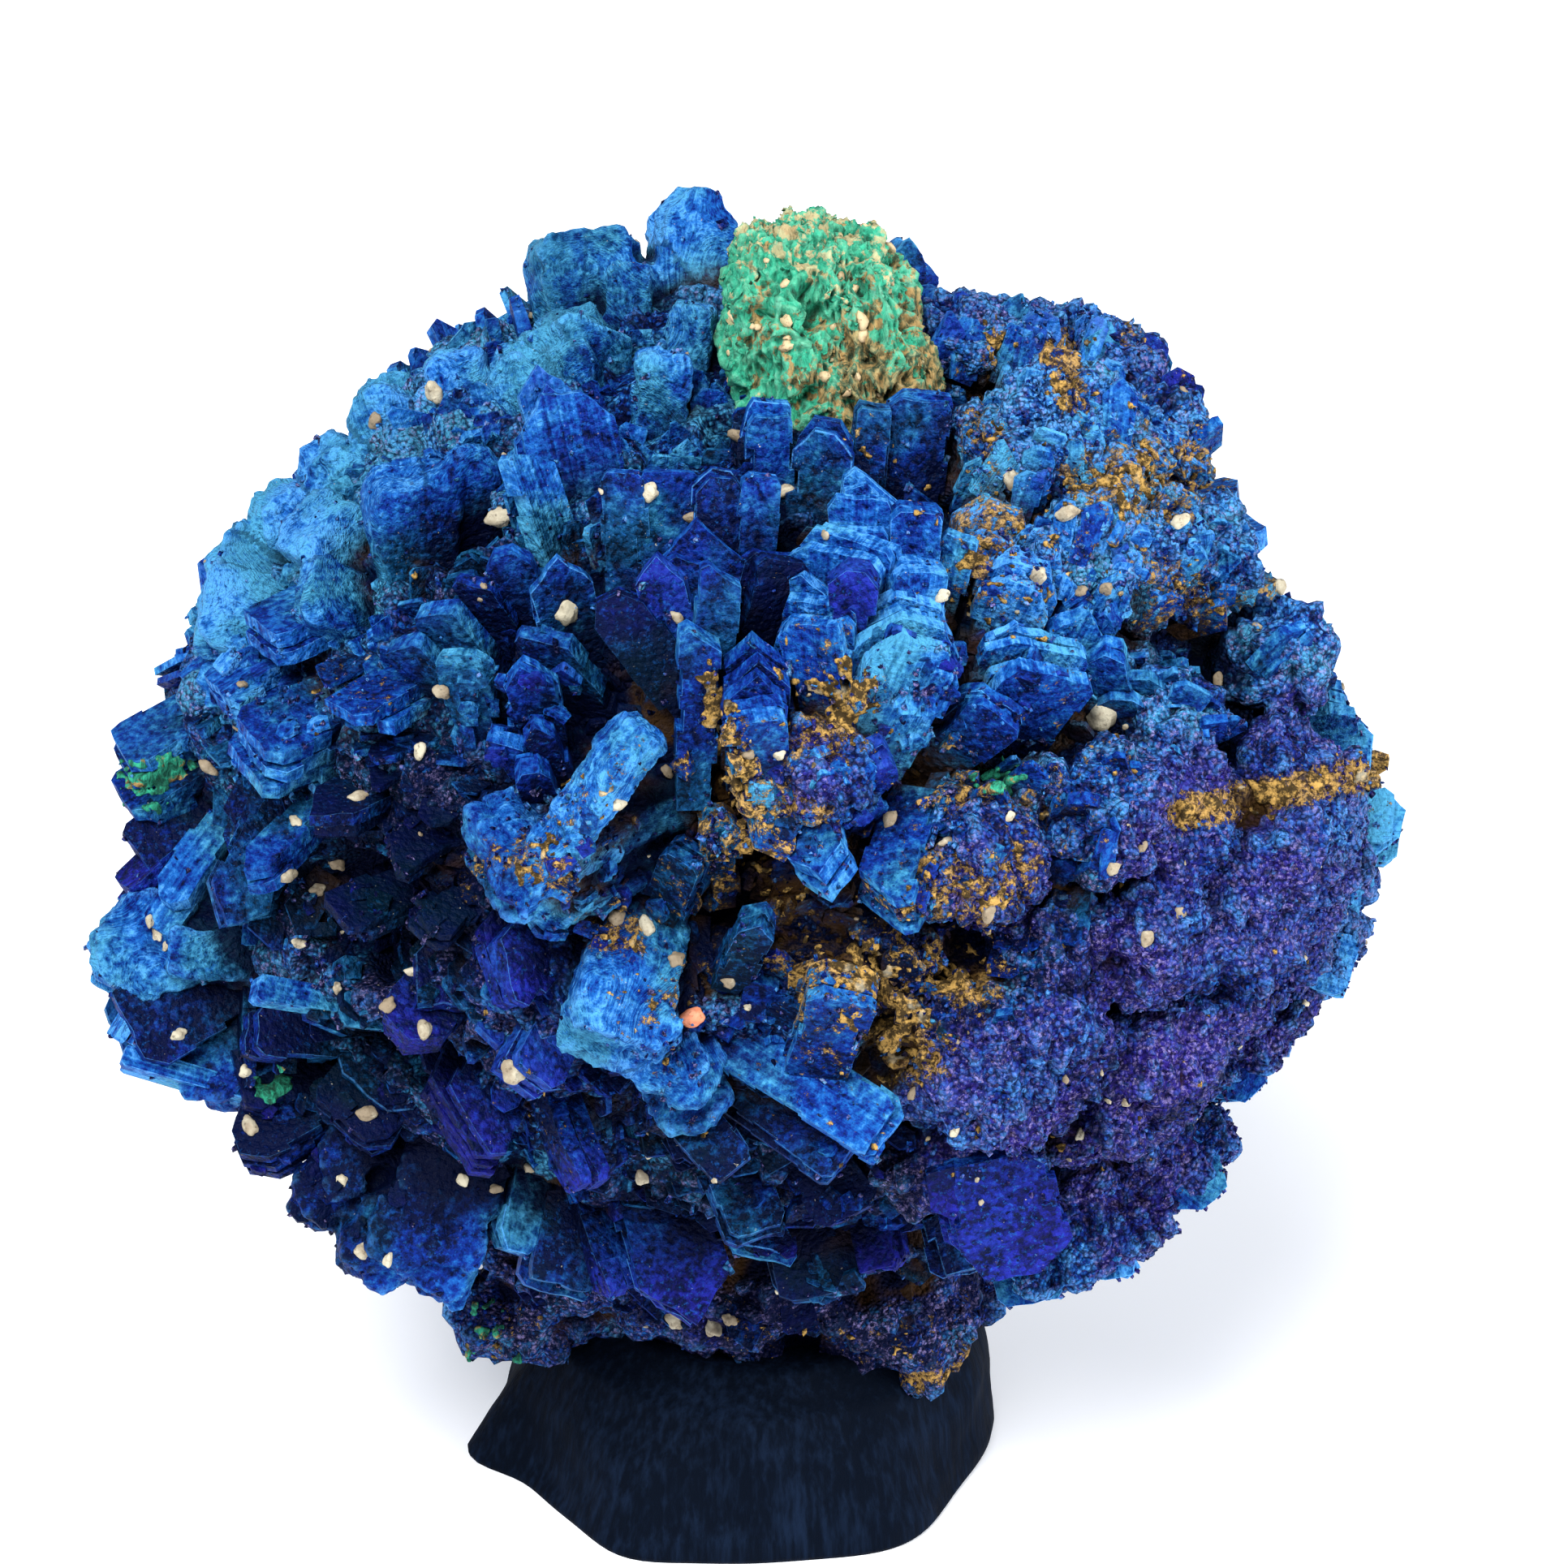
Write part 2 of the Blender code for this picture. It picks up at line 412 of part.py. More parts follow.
def stand_mesh(grow=0.0):
    """The putty lump: rings from the foot to the shoulder and a dished top."""
    mesh = bmesh.new()
    levels = (
        (-grow, 1.0, grow, 1.0),
        (0.5, 1.0, grow, 0.9),
        (STAND_HEIGHT * 0.5, 0.94, grow, 0.45),
        (STAND_HEIGHT * 0.8, STAND_SHOULDER_SHARE, grow, 0.3),
        (STAND_HEIGHT + grow, STAND_SHOULDER_SHARE - 0.16, 0.0, 0.2),
        (STAND_HEIGHT - STAND_DISH + grow, 0.4, 0.0, 0.0),
    )
    rings = []
    for height, share, out, sharpness in levels:
        shift = STAND_SHOULDER_SHIFT * max(0.0, height) / STAND_HEIGHT
        ring = []
        for side in range(STAND_SIDES):
            angle = 2 * math.pi * side / STAND_SIDES
            radius = stand_radius(angle, sharpness) * share + out
            place = Vector((radius * math.cos(angle) + shift, radius * math.sin(angle), height))
            ring.append(mesh.verts.new(place * MM))
        rings.append(ring)
    for low, high in zip(rings, rings[1:]):
        for i in range(STAND_SIDES):
            j = (i + 1) % STAND_SIDES
            mesh.faces.new((low[i], low[j], high[j], high[i]))
    mesh.faces.new(rings[0][::-1])
    mesh.faces.new(rings[-1])
    return mesh


def core_mesh():
    """The rosette's solid heart, rippled so that no two facets are alike."""
    mesh = bmesh.new()
    verts = bmesh.ops.create_icosphere(mesh, subdivisions=3, radius=1.0)["verts"]
    for vert in verts:
        ray = vert.co.copy()
        reach = CORE_SHARE + CORE_RIPPLE / SKIN_HALF[2] * noise.noise(ray * 3.0)
        vert.co = sum(
            (ray[i] * SKIN_HALF[i] * axis for i, axis in enumerate((RIGHT, RISE, TOWARD))),
            Vector(),
        ) * reach
        vert.co = (ROSETTE_MIDDLE + vert.co) * MM
    return mesh


def helpers(name):
    """A collection for hidden helpers, and a function that puts a bmesh in it."""
    kept = bpy.data.collections.new(name)
    bpy.context.scene.collection.children.link(kept)
    kept.hide_render = True

    def keep(mesh, label):
        helper = hide(new_object(label, mesh))
        bpy.context.scene.collection.objects.unlink(helper)
        kept.objects.link(helper)

    return kept, keep


def hollows():
    """Lumpy cutters, half sunk in the core's skin."""
    kept, keep = helpers("hollows")
    for number, (across, up, *half) in enumerate(HOLLOWS):
        mesh = bmesh.new()
        middle = seen(across, up, CORE_SHARE * skin_depth(across, up))
        add_lump(mesh, middle, half, 60 + number, skin_axes(across, up))
        keep(mesh, f"hollow_{number}")
    return kept


def growths():
    """Every crystal and lump, each a closed hidden helper in one collection."""
    kept, keep = helpers("growths")

    for number, row in enumerate(CRYSTALS):
        across, up, lift, aim, out, roll, width, length, thickness, end = row
        mesh = bmesh.new()
        tip = seen(across, up, skin_depth(across, up) + lift)
        axes = crystal_axes(aim, out, roll)
        add_prism(mesh, tip, axes, width, length, thickness, end, number)
        keep(mesh, f"crystal_{number}")
    for number, row in enumerate(back_crystals()):
        mesh = bmesh.new()
        add_prism(mesh, *row, number)
        keep(mesh, f"back_crystal_{number}")
    for number, (across, up, sunk, *half) in enumerate(SWELLINGS):
        mesh = bmesh.new()
        middle = seen(across, up, skin_depth(across, up) - sunk)
        add_lump(mesh, middle, half, number, skin_axes(across, up))
        keep(mesh, f"swelling_{number}")
    for number, (middle, half) in enumerate(STUB_LUMPS):
        mesh = bmesh.new()
        add_lump(mesh, Vector(middle), half, 30 + number, Matrix.Identity(3))
        keep(mesh, f"stub_{number}")
    return kept


def main():
    for old in list(bpy.data.objects):
        bpy.data.objects.remove(old)
    rosette = new_object("azurite_rosette", core_mesh(), (0.02, 0.09, 0.45), 0.6)
    carve = rosette.modifiers.new("carve", "BOOLEAN")
    carve.operation = "DIFFERENCE"
    carve.operand_type = "COLLECTION"
    carve.collection = hollows()
    fuse = rosette.modifiers.new("fuse", "BOOLEAN")
    fuse.operation = "UNION"
    fuse.operand_type = "COLLECTION"
    fuse.collection = growths()
    sockets = (("tuft_socket", tuft_mesh(GAP)), ("stand_socket", stand_mesh(GAP)))
    for name, mesh in sockets:
        cut = rosette.modifiers.new(name, "BOOLEAN")
        cut.operation = "DIFFERENCE"
        cut.object = hide(new_object(name, mesh))
    new_object("malachite_tuft", tuft_mesh(), (0.07, 0.42, 0.27), 0.7)
    new_object("putty_stand", stand_mesh(), (0.012, 0.018, 0.035), 0.55)


main()
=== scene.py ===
"""Looks of an azurite rosette with a malachite tuft, standing on dark mounting putty.

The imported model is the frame, and its tables are repeated here in millimetres and degrees,
so that every crystal grows where its solid stands. The crystals are laid out as the front
of the specimen is seen from a little above: across is to the right, up is upwards in that
view and depth comes out towards the eye. Finished pieces are in metres with +Z up.
"""

import math
import random
from collections import namedtuple

import bmesh
import bpy
import numpy as np
from mathutils import Matrix, Vector, kdtree, noise
from mathutils.bvhtree import BVHTree


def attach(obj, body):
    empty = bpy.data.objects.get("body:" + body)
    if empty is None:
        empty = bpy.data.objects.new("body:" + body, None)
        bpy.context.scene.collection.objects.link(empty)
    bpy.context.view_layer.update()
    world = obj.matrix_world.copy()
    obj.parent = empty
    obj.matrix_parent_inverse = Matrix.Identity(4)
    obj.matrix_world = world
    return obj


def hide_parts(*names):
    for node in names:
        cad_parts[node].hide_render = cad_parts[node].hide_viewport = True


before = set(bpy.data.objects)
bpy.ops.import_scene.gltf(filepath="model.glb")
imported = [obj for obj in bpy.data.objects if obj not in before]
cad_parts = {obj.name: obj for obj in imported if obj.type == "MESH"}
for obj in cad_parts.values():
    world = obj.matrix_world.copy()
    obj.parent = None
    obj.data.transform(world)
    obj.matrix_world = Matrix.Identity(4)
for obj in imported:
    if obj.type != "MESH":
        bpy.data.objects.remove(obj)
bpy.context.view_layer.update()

bl_info = {
    "name": "Azurite specimen",
    "version": (1, 0, 0),
    "blender": (4, 5, 0),
    "location": "View3D > Sidebar > Specimen",
    "description": "Grows the crystals, crusts and stage of an azurite specimen on its stand",
    "category": "Object",
}

MM = 0.001
ROSETTE = "azurite_rosette"
TUFT = "malachite_tuft"
STAND = "putty_stand"

# Where the front looks: up by this angle, from a finite distance.
VIEW_TILT = math.radians(28.0)
EYE_DISTANCE = 140.0
EYE_AXIS = (1.0, -0.6)
FRAME_WIDTH = 37.58
SENSOR = 36.0

# The rosette is an ellipsoid: half sizes across, up and deep, along the view's own axes.
ROSETTE_MIDDLE = Vector((0.0, 0.0, 19.0))
SKIN_HALF = (14.8, 12.8, 14.0)
CORE_SHARE = 0.88
CORE_RIPPLE = 0.9
LEAST_DEPTH = 0.04

RIGHT = Vector((1.0, 0.0, 0.0))
RISE = Vector((0.0, math.sin(VIEW_TILT), math.cos(VIEW_TILT)))
TOWARD = Vector((0.0, -math.cos(VIEW_TILT), math.sin(VIEW_TILT)))

# Outlines of a crystal's outer end, as shares of its width: (side, back from the tip).
ENDS = {
    "flat": ((-0.5, 0.2), (-0.34, 0.0), (0.42, 0.04), (0.5, 0.16)),
    "peak": ((-0.5, 0.5), (0.0, 0.0), (0.5, 0.58)),
    "round": ((-0.5, 0.36), (-0.2, 0.0), (0.24, 0.04), (0.5, 0.4)),
    "slant": ((-0.5, 0.1), (-0.3, 0.0), (0.5, 0.5)),
}
# How far the tip of a wide crystal falls away towards its sides, as a share of its width.
FALL_AWAY = {"flat": 0.05, "peak": 0.55, "round": 0.34, "slant": 0.2}
# The width of a crystal's root, as a share of its width.
ROOT_SHARE = 0.74
# The length of the ragged steps in the outline of a crystal's leaf, and of a small blade.
LEAF_STEP = 0.3
BLADE_STEP = 0.7
# The angles that things are spun by at random, about a full turn.
ANY_SPIN = (0.0, 6.3)

# How a crystal looks: how light its broad faces are, how violet its tip is, how light its
# side faces are. Crystals marked rough are lumps that join the skin of the swellings.
LOOKS = {
    "deep": (0.1, 0.1, 0.34),
    "blue": (0.27, 0.12, 0.52),
    "violet": (0.24, 0.8, 0.44),
    "azure": (0.5, 0.04, 0.72),
    "pale": (0.66, 0.02, 0.84),
    "teal": (0.3, 0.0, 0.46),
    "rough": (0.34, 0.6, 0.5),
    "crust": (0.58, 0.06, 0.72),
}
BLADE_LOOKS = ("blue", "deep", "deep", "teal")
CHIP_LOOKS = ("blue", "teal", "azure", "violet")

# The malachite tuft: its foot on the rosette's top, and its taper. The crust is raised on a
# block that is drawn in a little.
TUFT_FOOT = Vector((2.25, -3.0, 29.4))
TUFT_HALF = (2.8, 2.1)
TUFT_HEIGHT = 4.3
TUFT_TOP_SHARE = 0.66
TUFT_LEAN = (-0.7, 1.0)
TUFT_CUTS = 84
TUFT_DRAWN_IN = 0.3
CRUST_GRAIN = 0.1
CRUST_BENDS = (3.0, 31.0, 67.0)
# Heights between which the tuft goes from rusty to green, and from green to sandy.
TUFT_RUST_HEIGHTS = (32.6, 31.0)
TUFT_SAND_HEIGHTS = (32.2, 33.6)

# The putty stand: a round foot with pressed-out corners (angle, how far out, half width),
# and a dished top, which is let down in rings (how far in, how deep).
STAND_HEIGHT = 4.4
STAND_FOOT_RADIUS = 6.3
STAND_CORNERS = (
    (193.0, 1.1, 10.0), (306.0, 0.7, 17.0), (244.0, 0.45, 12.0), (50.0, 0.4, 20.0),
)
STAND_SHOULDER_SHARE = 0.86
STAND_SHOULDER_SHIFT = 0.6
STAND_DISH_RINGS = ((0.5, 0.06), (1.2, 0.2), (1.6, 0.5))
STAND_SEGMENTS = 132
STAND_CUTS = 39
# Nothing is strewn on the rosette lower than this and nearer to the stand than this.
CLEAR_HEIGHT = 5.2
CLEAR_RADIUS = 8.6

# Tabular crystals: across, up, lift over the skin, aim of the tip (clockwise from up),
# how far it points out at the eye, roll of its broad face, width, length, thickness, look,
# and its end where that isn't flat.
TOP_FAN = (
    (-4.4, 8.9, 1, -12, 17, 8, 2.3, 4.8, 0.8, "blue", "round"),
    (-5.3, 7.5, 0.8, -18, 17, 40, 1.2, 4, 0.5, "azure", "slant"),
    (-4.9, 9.5, 0.7, -12, 7, 15, 1.3, 3.5, 0.6, "violet", "peak"),
    (-2.9, 6.9, 1, -3, 19, -5, 1, 4.5, 0.6, "blue"),
    (-1.75, 7, 0.7, 2, 17, 5, 1.6, 4.5, 0.7, "teal"),
    (-0.5, 6.95, 1.1, 4, 19, 5, 1.15, 4.5, 0.6, "blue", "round"),
    (0.45, 6.8, 1, 6, 19, 8, 0.85, 4.5, 0.6, "blue"),
    (-1.1, 5.7, 1.6, -6, 25, 5, 1.8, 5, 0.6, "blue", "peak"),
    (-0.5, 4.7, 2.1, 6, 27, 10, 1.1, 4.5, 0.5, "blue", "slant"),
    (-2.1, 4.9, 1.7, -14, 25, -10, 1.2, 4.8, 0.5, "violet", "peak"),
    (-3.3, 3.9, 1.3, -38, 22, -15, 1.3, 4.5, 0.5, "deep", "round"),
    (-1, 3.2, 1.6, 3, 32, 8, 1, 4.5, 0.6, "blue", "slant"),
    (0.9, 5, 0.7, 15, 22, 25, 1.3, 4, 1, "deep"),
)
TUFT_APRON = (
    (0.65, 8.6, 0.5, 0, 19, 5, 1.1, 4, 0.8, "teal"),
    (2, 8.15, 0.6, 3, 19, -8, 1.35, 4.2, 0.8, "teal", "round"),
    (3.15, 8.5, 0.5, 5, 19, 5, 0.9, 4.2, 0.7, "blue"),
    (4.35, 8.8, 0.6, 6, 19, 8, 1.45, 4.2, 0.8, "blue"),
    (3.4, 6.9, 0.6, 8, 21, 10, 1.9, 3.5, 0.6, "azure", "slant"),
    (2.8, 6.2, 1, 2, 26, 0, 1.4, 4, 0.8, "azure"),
    (4.2, 6.1, 1, 6, 26, 8, 1.25, 4, 0.8, "blue"),
    (2.5, 5.3, 1.2, 5, 29, -18, 2.3, 4.5, 1.6, "azure"),
    (2.7, 4.7, 2.1, 5, 33, 5, 1.1, 3.8, 0.8, "violet", "round"),
    (4.3, 4.7, 1.3, 12, 31, 15, 1.3, 3.8, 1.2, "azure"),
    (4.3, 3.5, 1.8, 28, 39, 25, 2.5, 4.5, 1.9, "azure", "round"),
    (1.7, 3.6, 1.4, -10, 36, -20, 1.7, 4, 1.3, "azure"),
)
MIDDLE = (
    (0.35, 2.6, 1.7, 2, 48, 8, 1.5, 4.5, 1.2, "blue", "peak"),
    (0.3, 1.25, 1.6, -4, 50, 10, 1.3, 4, 0.9, "blue"),
    (0.85, -2.4, 0.6, 165, 20, -25, 0.8, 4.5, 0.6, "azure", "slant"),
    (0.5, -3.7, 0.2, 30, 55, 20, 0.9, 3, 0.7, "teal", "peak"),
    (2, -3.2, 1, 170, 35, 15, 1.3, 3.2, 1.1, "azure", "peak"),
    (3.3, -3.8, 0.9, 200, 35, 20, 1.5, 3.2, 1.2, "teal", "slant"),
    (2.5, -5.3, 0.3, 20, 50, 10, 1.6, 3.5, 1.2, "blue"),
    (-1.3, -2.2, -0.8, 20, 50, -15, 1, 3, 0.8, "teal"),
    (-0.6, -1.2, -0.6, 0, 50, 10, 0.9, 3, 0.8, "teal", "round"),
    (3.5, 0.3, 0.7, 40, 45, 50, 1, 3, 0.9, "violet", "peak"),
)
LEFT_OF_MIDDLE = (
    (-5.8, 5, 0.2, -25, 32, -15, 1.1, 4, 0.5, "blue", "round"),
    (-4.5, 4.95, 0.6, -10, 35, 5, 1.4, 4.2, 0.6, "blue", "peak"),
    (-6.6, 4.4, 0.2, -35, 32, -35, 1, 3.8, 0.5, "deep", "slant"),
    (-7.4, 3.6, 0.3, -40, 32, -45, 1.3, 3.8, 0.5, "blue"),
    (-8.2, 2.8, 0.2, -45, 30, -45, 1.2, 3.6, 0.5, "deep"),
    (-5, 3.1, 0.7, -40, 38, -40, 1.2, 3.8, 0.5, "deep", "slant"),
    (-5.3, 2.4, 0.9, -12, 40, -5, 1.2, 4, 0.6, "blue", "peak"),
    (-6.8, 2.7, 0.5, -15, 38, -20, 1.1, 4, 0.7, "azure"),
    (-5, 0.9, 0.8, -20, 45, -10, 0.8, 3.5, 0.5, "blue", "peak"),
    (-5.8, 0.6, 0.6, -30, 42, -30, 0.9, 3.5, 0.5, "blue", "slant"),
    (-5.1, -0.1, 0.6, -20, 50, -10, 0.9, 3.2, 0.6, "blue", "round"),
    (-5.5, -1.2, 0.2, -60, 45, 20, 1.3, 3.2, 0.6, "deep"),
)
UPPER_LEFT = (
    (-8, 6.95, 0.5, -5, 32, 10, 2.3, 5, 1.6, "blue"),
    (-6.5, 7.65, 0.2, 3, 30, 12, 1.3, 4.2, 0.8, "teal", "round"),
    (-8.8, 9.15, 0.2, -20, 12, -10, 1.9, 4.5, 1.8, "crust", "round"),
    (-7, 9.85, 0.1, -15, 12, 5, 1.4, 4, 1.4, "crust"),
    (-10.3, 7.7, 0, -35, 12, -10, 1.7, 4.2, 1.5, "crust", "round"),
    (-11.5, 6.5, 0.1, -45, 12, 5, 1.8, 4.2, 1.5, "crust", "round"),
    (-12.6, 5.2, 0.1, -60, 10, 15, 2.3, 5, 2.2, "crust", "round"),
    (-13.1, 3.6, 0.2, -80, 10, 10, 2.1, 5, 2, "crust"),
    (-10.4, 6, 0.3, -40, 30, 20, 1.8, 4, 1.5, "crust"),
    (-10.6, 4.2, 0.2, -60, 30, 40, 2, 4.2, 0.9, "teal"),
)
BACK_PEAKS = (
    (-4, 12.75, 0.3, -8, 4, 10, 2.6, 5.5, 2.4, "blue"),
    (-1.05, 13.7, 0.3, 8, 4, 15, 2, 6, 1.9, "azure", "round"),
    (-2.7, 12, -0.3, 0, 5, 0, 1.2, 4.5, 1.5, "teal"),
    (-3.8, 10.9, 0.2, -5, 18, 15, 1.7, 4.5, 1.4, "blue", "slant"),
    (-1.2, 10.95, 0.1, 5, 18, -10, 1.2, 4, 1, "azure"),
    (-1.9, 9.85, 0.2, 3, 22, 10, 1.3, 4, 1, "azure"),
    (-4.7, 10.6, 0, -25, 8, -25, 2, 5, 1.8, "crust"),
    (-5.7, 9.9, 0.1, -20, 12, -10, 1.3, 4, 1.3, "crust", "round"),
    (3.9, 12.55, 0.2, 6, 5, 15, 1.5, 5, 1.3, "blue", "peak"),
    (5, 11.3, 0.1, 15, 6, 20, 1.3, 4.5, 1.3, "violet", "slant"),
)
SHINGLES = (
    (-15, -0.1, 0.2, -118, 10, 50, 2, 6, 0.9, "blue"),
    (-14.8, -1.2, 0, -122, 12, 50, 2.2, 6, 0.8, "teal"),
    (-14.9, -3.4, 0.4, -128, 15, 60, 1.5, 6, 0.9, "violet"),
    (-14.5, -2.4, 0.3, -126, 18, 10, 1.7, 5, 0.8, "deep"),
    (-14.1, -4, 1.3, -143, 18, 20, 0.95, 4.6, 1.2, "pale"),
    (-12.4, -4.1, 0.9, -155, 20, -5, 1.6, 4.2, 0.8, "deep", "peak"),
    (-11.9, -3, 1.3, -137, 24, 30, 0.9, 4, 0.9, "azure", "peak"),
    (-11.9, 0.1, 1.1, -110, 28, 40, 2, 4.5, 1.5, "azure"),
    (-14.9, -6.7, 0.5, -118, 18, 5, 2.3, 5.5, 1.8, "deep"),
    (-15.1, -6.7, 0.9, -146, 10, 60, 0.6, 3.2, 0.4, "pale"),
    (-14.6, -6.9, 0.9, -146, 12, 60, 0.5, 3, 0.35, "pale"),
    (-14.9, -7.15, 0.7, -72, 10, 20, 0.5, 4, 0.9, "azure"),
    (-11.9, -7.9, 1, 180, 10, 75, 1, 3, 0.35, "azure"),
    (-11.7, -5.5, 1.3, -77, 24, 20, 0.6, 3.6, 0.7, "pale"),
    (-11.9, -6.6, 1, -86, 26, 15, 1.2, 4, 0.9, "blue"),
    (-12.2, -7.9, 0.4, -105, 22, 15, 1.8, 4.5, 1.5, "deep"),
    (-12.6, 1.4, 0.3, -118, 18, 55, 2, 5, 0.8, "blue"),
    (-11.6, 2.8, 0.4, -115, 25, 55, 2, 4.5, 0.8, "deep"),
    (-9.6, 0.9, 0.6, -120, 35, 50, 1.6, 4, 0.8, "teal"),
    (-10.4, -1.6, 0.6, -115, 35, 50, 1.5, 4, 0.7, "deep", "peak"),
    (-8.6, -2.6, 0.2, -120, 40, 30, 1.2, 3.5, 0.6, "deep", "slant"),
    (-9.8, -3.9, 0.5, -110, 35, 40, 1.4, 4, 0.6, "deep"),
    (-7.6, -4.2, 0.2, -130, 42, 20, 1.1, 3.5, 0.6, "deep"),
)
LOWER_LEFT = (
    (-12.1, -9.5, 0.2, 240, 10, 25, 1.6, 5, 1.2, "teal", "round"),
    (-7, -9.4, 0.7, 205, 28, -10, 2.2, 4.5, 1.6, "violet", "slant"),
    (-7.4, -11, 0.4, 200, 20, 0, 1.7, 4, 1.2, "azure"),
    (-8.3, -6.6, 0.6, 225, 35, 10, 1.8, 4, 1.4, "violet", "round"),
    (-6, -5.6, 0.5, 215, 35, -20, 1.6, 4, 1.2, "violet", "slant"),
    (-5.2, -7.8, 0.6, 205, 30, -25, 1.5, 4, 1.2, "violet"),
    (-9.6, -8.9, 0.3, 220, 22, 10, 2.4, 4, 1.4, "azure"),
)
LOWER_PLATES = (
    (3.6, -9, 1.7, 121, 10, -16, 1.7, 4.4, 0.7, "azure"),
    (2.6, -9.6, 0.8, 124, 13, -10, 1.5, 4, 0.6, "deep"),
    (2.7, -11, 0.5, 150, 15, 12, 1.8, 3.5, 0.7, "deep"),
    (-0.1, -9.9, 1.1, 137, 14, -12, 1.2, 3, 0.6, "teal"),
    (0.5, -11.5, 0.7, 158, 16, -15, 1.6, 3.2, 0.7, "teal"),
    (-1.15, -13.65, 1, 164, 10, -8, 2.2, 5.6, 0.9, "violet", "peak"),
    (0.7, -12.3, 0.5, 160, 10, -5, 1.5, 4, 1, "azure", "slant"),
    (2, -13, 0.3, 165, 12, -5, 2.2, 4.5, 1.2, "deep"),
    (3.4, -12.3, 0.7, 168, 15, 20, 1.1, 3, 0.9, "violet"),
    (5.6, -12.4, 0.1, 165, 8, 0, 2, 4, 1.4, "blue"),
    (-2.9, -12.9, 0.7, 160, 12, 60, 1, 5, 1, "violet", "slant"),
    (-3.7, -10.3, 1, 159, 16, 60, 1, 5, 0.9, "violet"),
    (-4.4, -12.9, 0.2, 190, 10, -15, 2, 4.5, 1.4, "blue"),
    (-5.5, -11.9, 0.6, 190, 15, -20, 1.3, 4, 1, "azure", "round"),
)
RIGHT_SIDE = (
    (7.4, 2.6, 0.9, 35, 42, 35, 2.4, 4, 1.4, "azure"),
    (6.2, 1.3, 0.9, 55, 45, 30, 1.6, 3.6, 0.7, "teal"),
    (6.3, 6.1, 0.5, 20, 32, 15, 1.9, 3.8, 1.3, "azure", "round"),
    (6.9, 4.8, 0.7, 25, 38, 15, 2, 3.8, 1.4, "azure", "round"),
    (5.3, 5.5, 0.5, 15, 35, 0, 0.9, 3.5, 0.9, "teal"),
    (8.3, 3.8, 0.5, 30, 38, 30, 1.6, 3.8, 1, "teal", "peak"),
    (9.6, 2.3, 0.5, 60, 35, 40, 2, 3.8, 0.8, "teal", "slant"),
    (10.2, 1.6, 0.4, 65, 35, 50, 2.2, 3.8, 0.7, "blue"),
    (13.7, 3.3, 0.3, 50, 12, 60, 1.8, 4.5, 0.7, "azure"),
    (15.2, 0.9, 0.5, 78, 13, 55, 3, 5.5, 1, "azure", "slant"),
    (15.55, -1.9, 0.4, 95, 12, -12, 4.6, 7, 2.6, "rough", "round"),
    (16.1, -1.6, 0.1, 93, 3, -10, 5, 3, 1.6, "pale", "round"),
    (14.8, -4.4, 0.3, 112, 10, -5, 2.8, 5.5, 2, "rough", "round"),
    (15.4, -4.5, 0.1, 108, 3, -5, 3.2, 2.5, 1.4, "pale", "round"),
    (13.6, -6.2, 0.3, 116, 14, -8, 3.2, 5.5, 2.2, "rough"),
    (12, -7.6, 0.2, 130, 12, 0, 1.8, 4.5, 1.8, "rough"),
    (12.4, -8, 0, 130, 3, 0, 1.8, 2, 1.2, "azure", "round"),
    (6.6, -12.3, 3.8, 166, -32, 0, 2.8, 3.6, 1, "violet", "round"),
    (7.7, -12.9, 0.2, 172, 5, 5, 3.4, 4.5, 1.6, "rough", "round"),
    (8, -13.4, 0, 168, 3, 5, 3.6, 2, 1.3, "azure", "round"),
    (9.6, -11.9, 0.2, 142, 6, 0, 2.6, 4.5, 1.6, "rough"),
    (10.8, -10.3, 0.2, 130, 6, 0, 1.8, 4.5, 1.4, "rough", "round"),
    (11.4, -10.5, 0, 128, 3, 0, 1.9, 2, 1.2, "azure", "round"),
)
CRUSTED = (
    (-2.3, 0.9, 0.9, 36, 8, -20, 1.2, 5, 1, "crust"),
    (-6.3, -2.9, 0.9, -112, 22, 35, 2.6, 5, 2.2, "crust"),
    (-3.2, -7.1, 1, 192, 30, -10, 2.6, 4.2, 2, "crust"),
    (-1.4, -8.7, 1, 175, 28, 10, 1.9, 4, 1.8, "crust", "round"),
    (-15.8, -4.8, 0.1, -100, 5, 10, 2.6, 5, 2.2, "crust", "round"),
    (-13.9, -4.6, 1.1, -84, 16, 8, 1.4, 4.2, 1.2, "crust"),
    (-13.4, -8.1, 0.1, -122, 6, 20, 1.8, 5, 1.4, "crust", "round"),
    (-8.3, -13.45, 0.3, 200, 6, -10, 3, 5, 2, "crust", "round"),
    (-9.5, -12.3, 0.1, 215, 8, 0, 1.4, 4.5, 1.6, "crust", "round"),
    (-10.7, -11, 0.2, 222, 10, 10, 1.7, 4.5, 1.5, "crust", "round"),
)
FRONT_GROUPS = {
    "top_fan_crystals": TOP_FAN,
    "tuft_apron_crystals": TUFT_APRON,
    "middle_crystals": MIDDLE,
    "left_of_middle_crystals": LEFT_OF_MIDDLE,
    "upper_left_crystals": UPPER_LEFT,
    "back_peak_crystals": BACK_PEAKS,
    "shingle_crystals": SHINGLES,
    "lower_left_crystals": LOWER_LEFT,
    "lower_plate_crystals": LOWER_PLATES,
    "right_side_crystals": RIGHT_SIDE,
    "crusted_crystals": CRUSTED,
}

# Groups whose leaves are weathered into one furrowed skin; the others stay crisp.
WEATHERED_GROUPS = ("upper_left_crystals", "back_peak_crystals", "crusted_crystals")

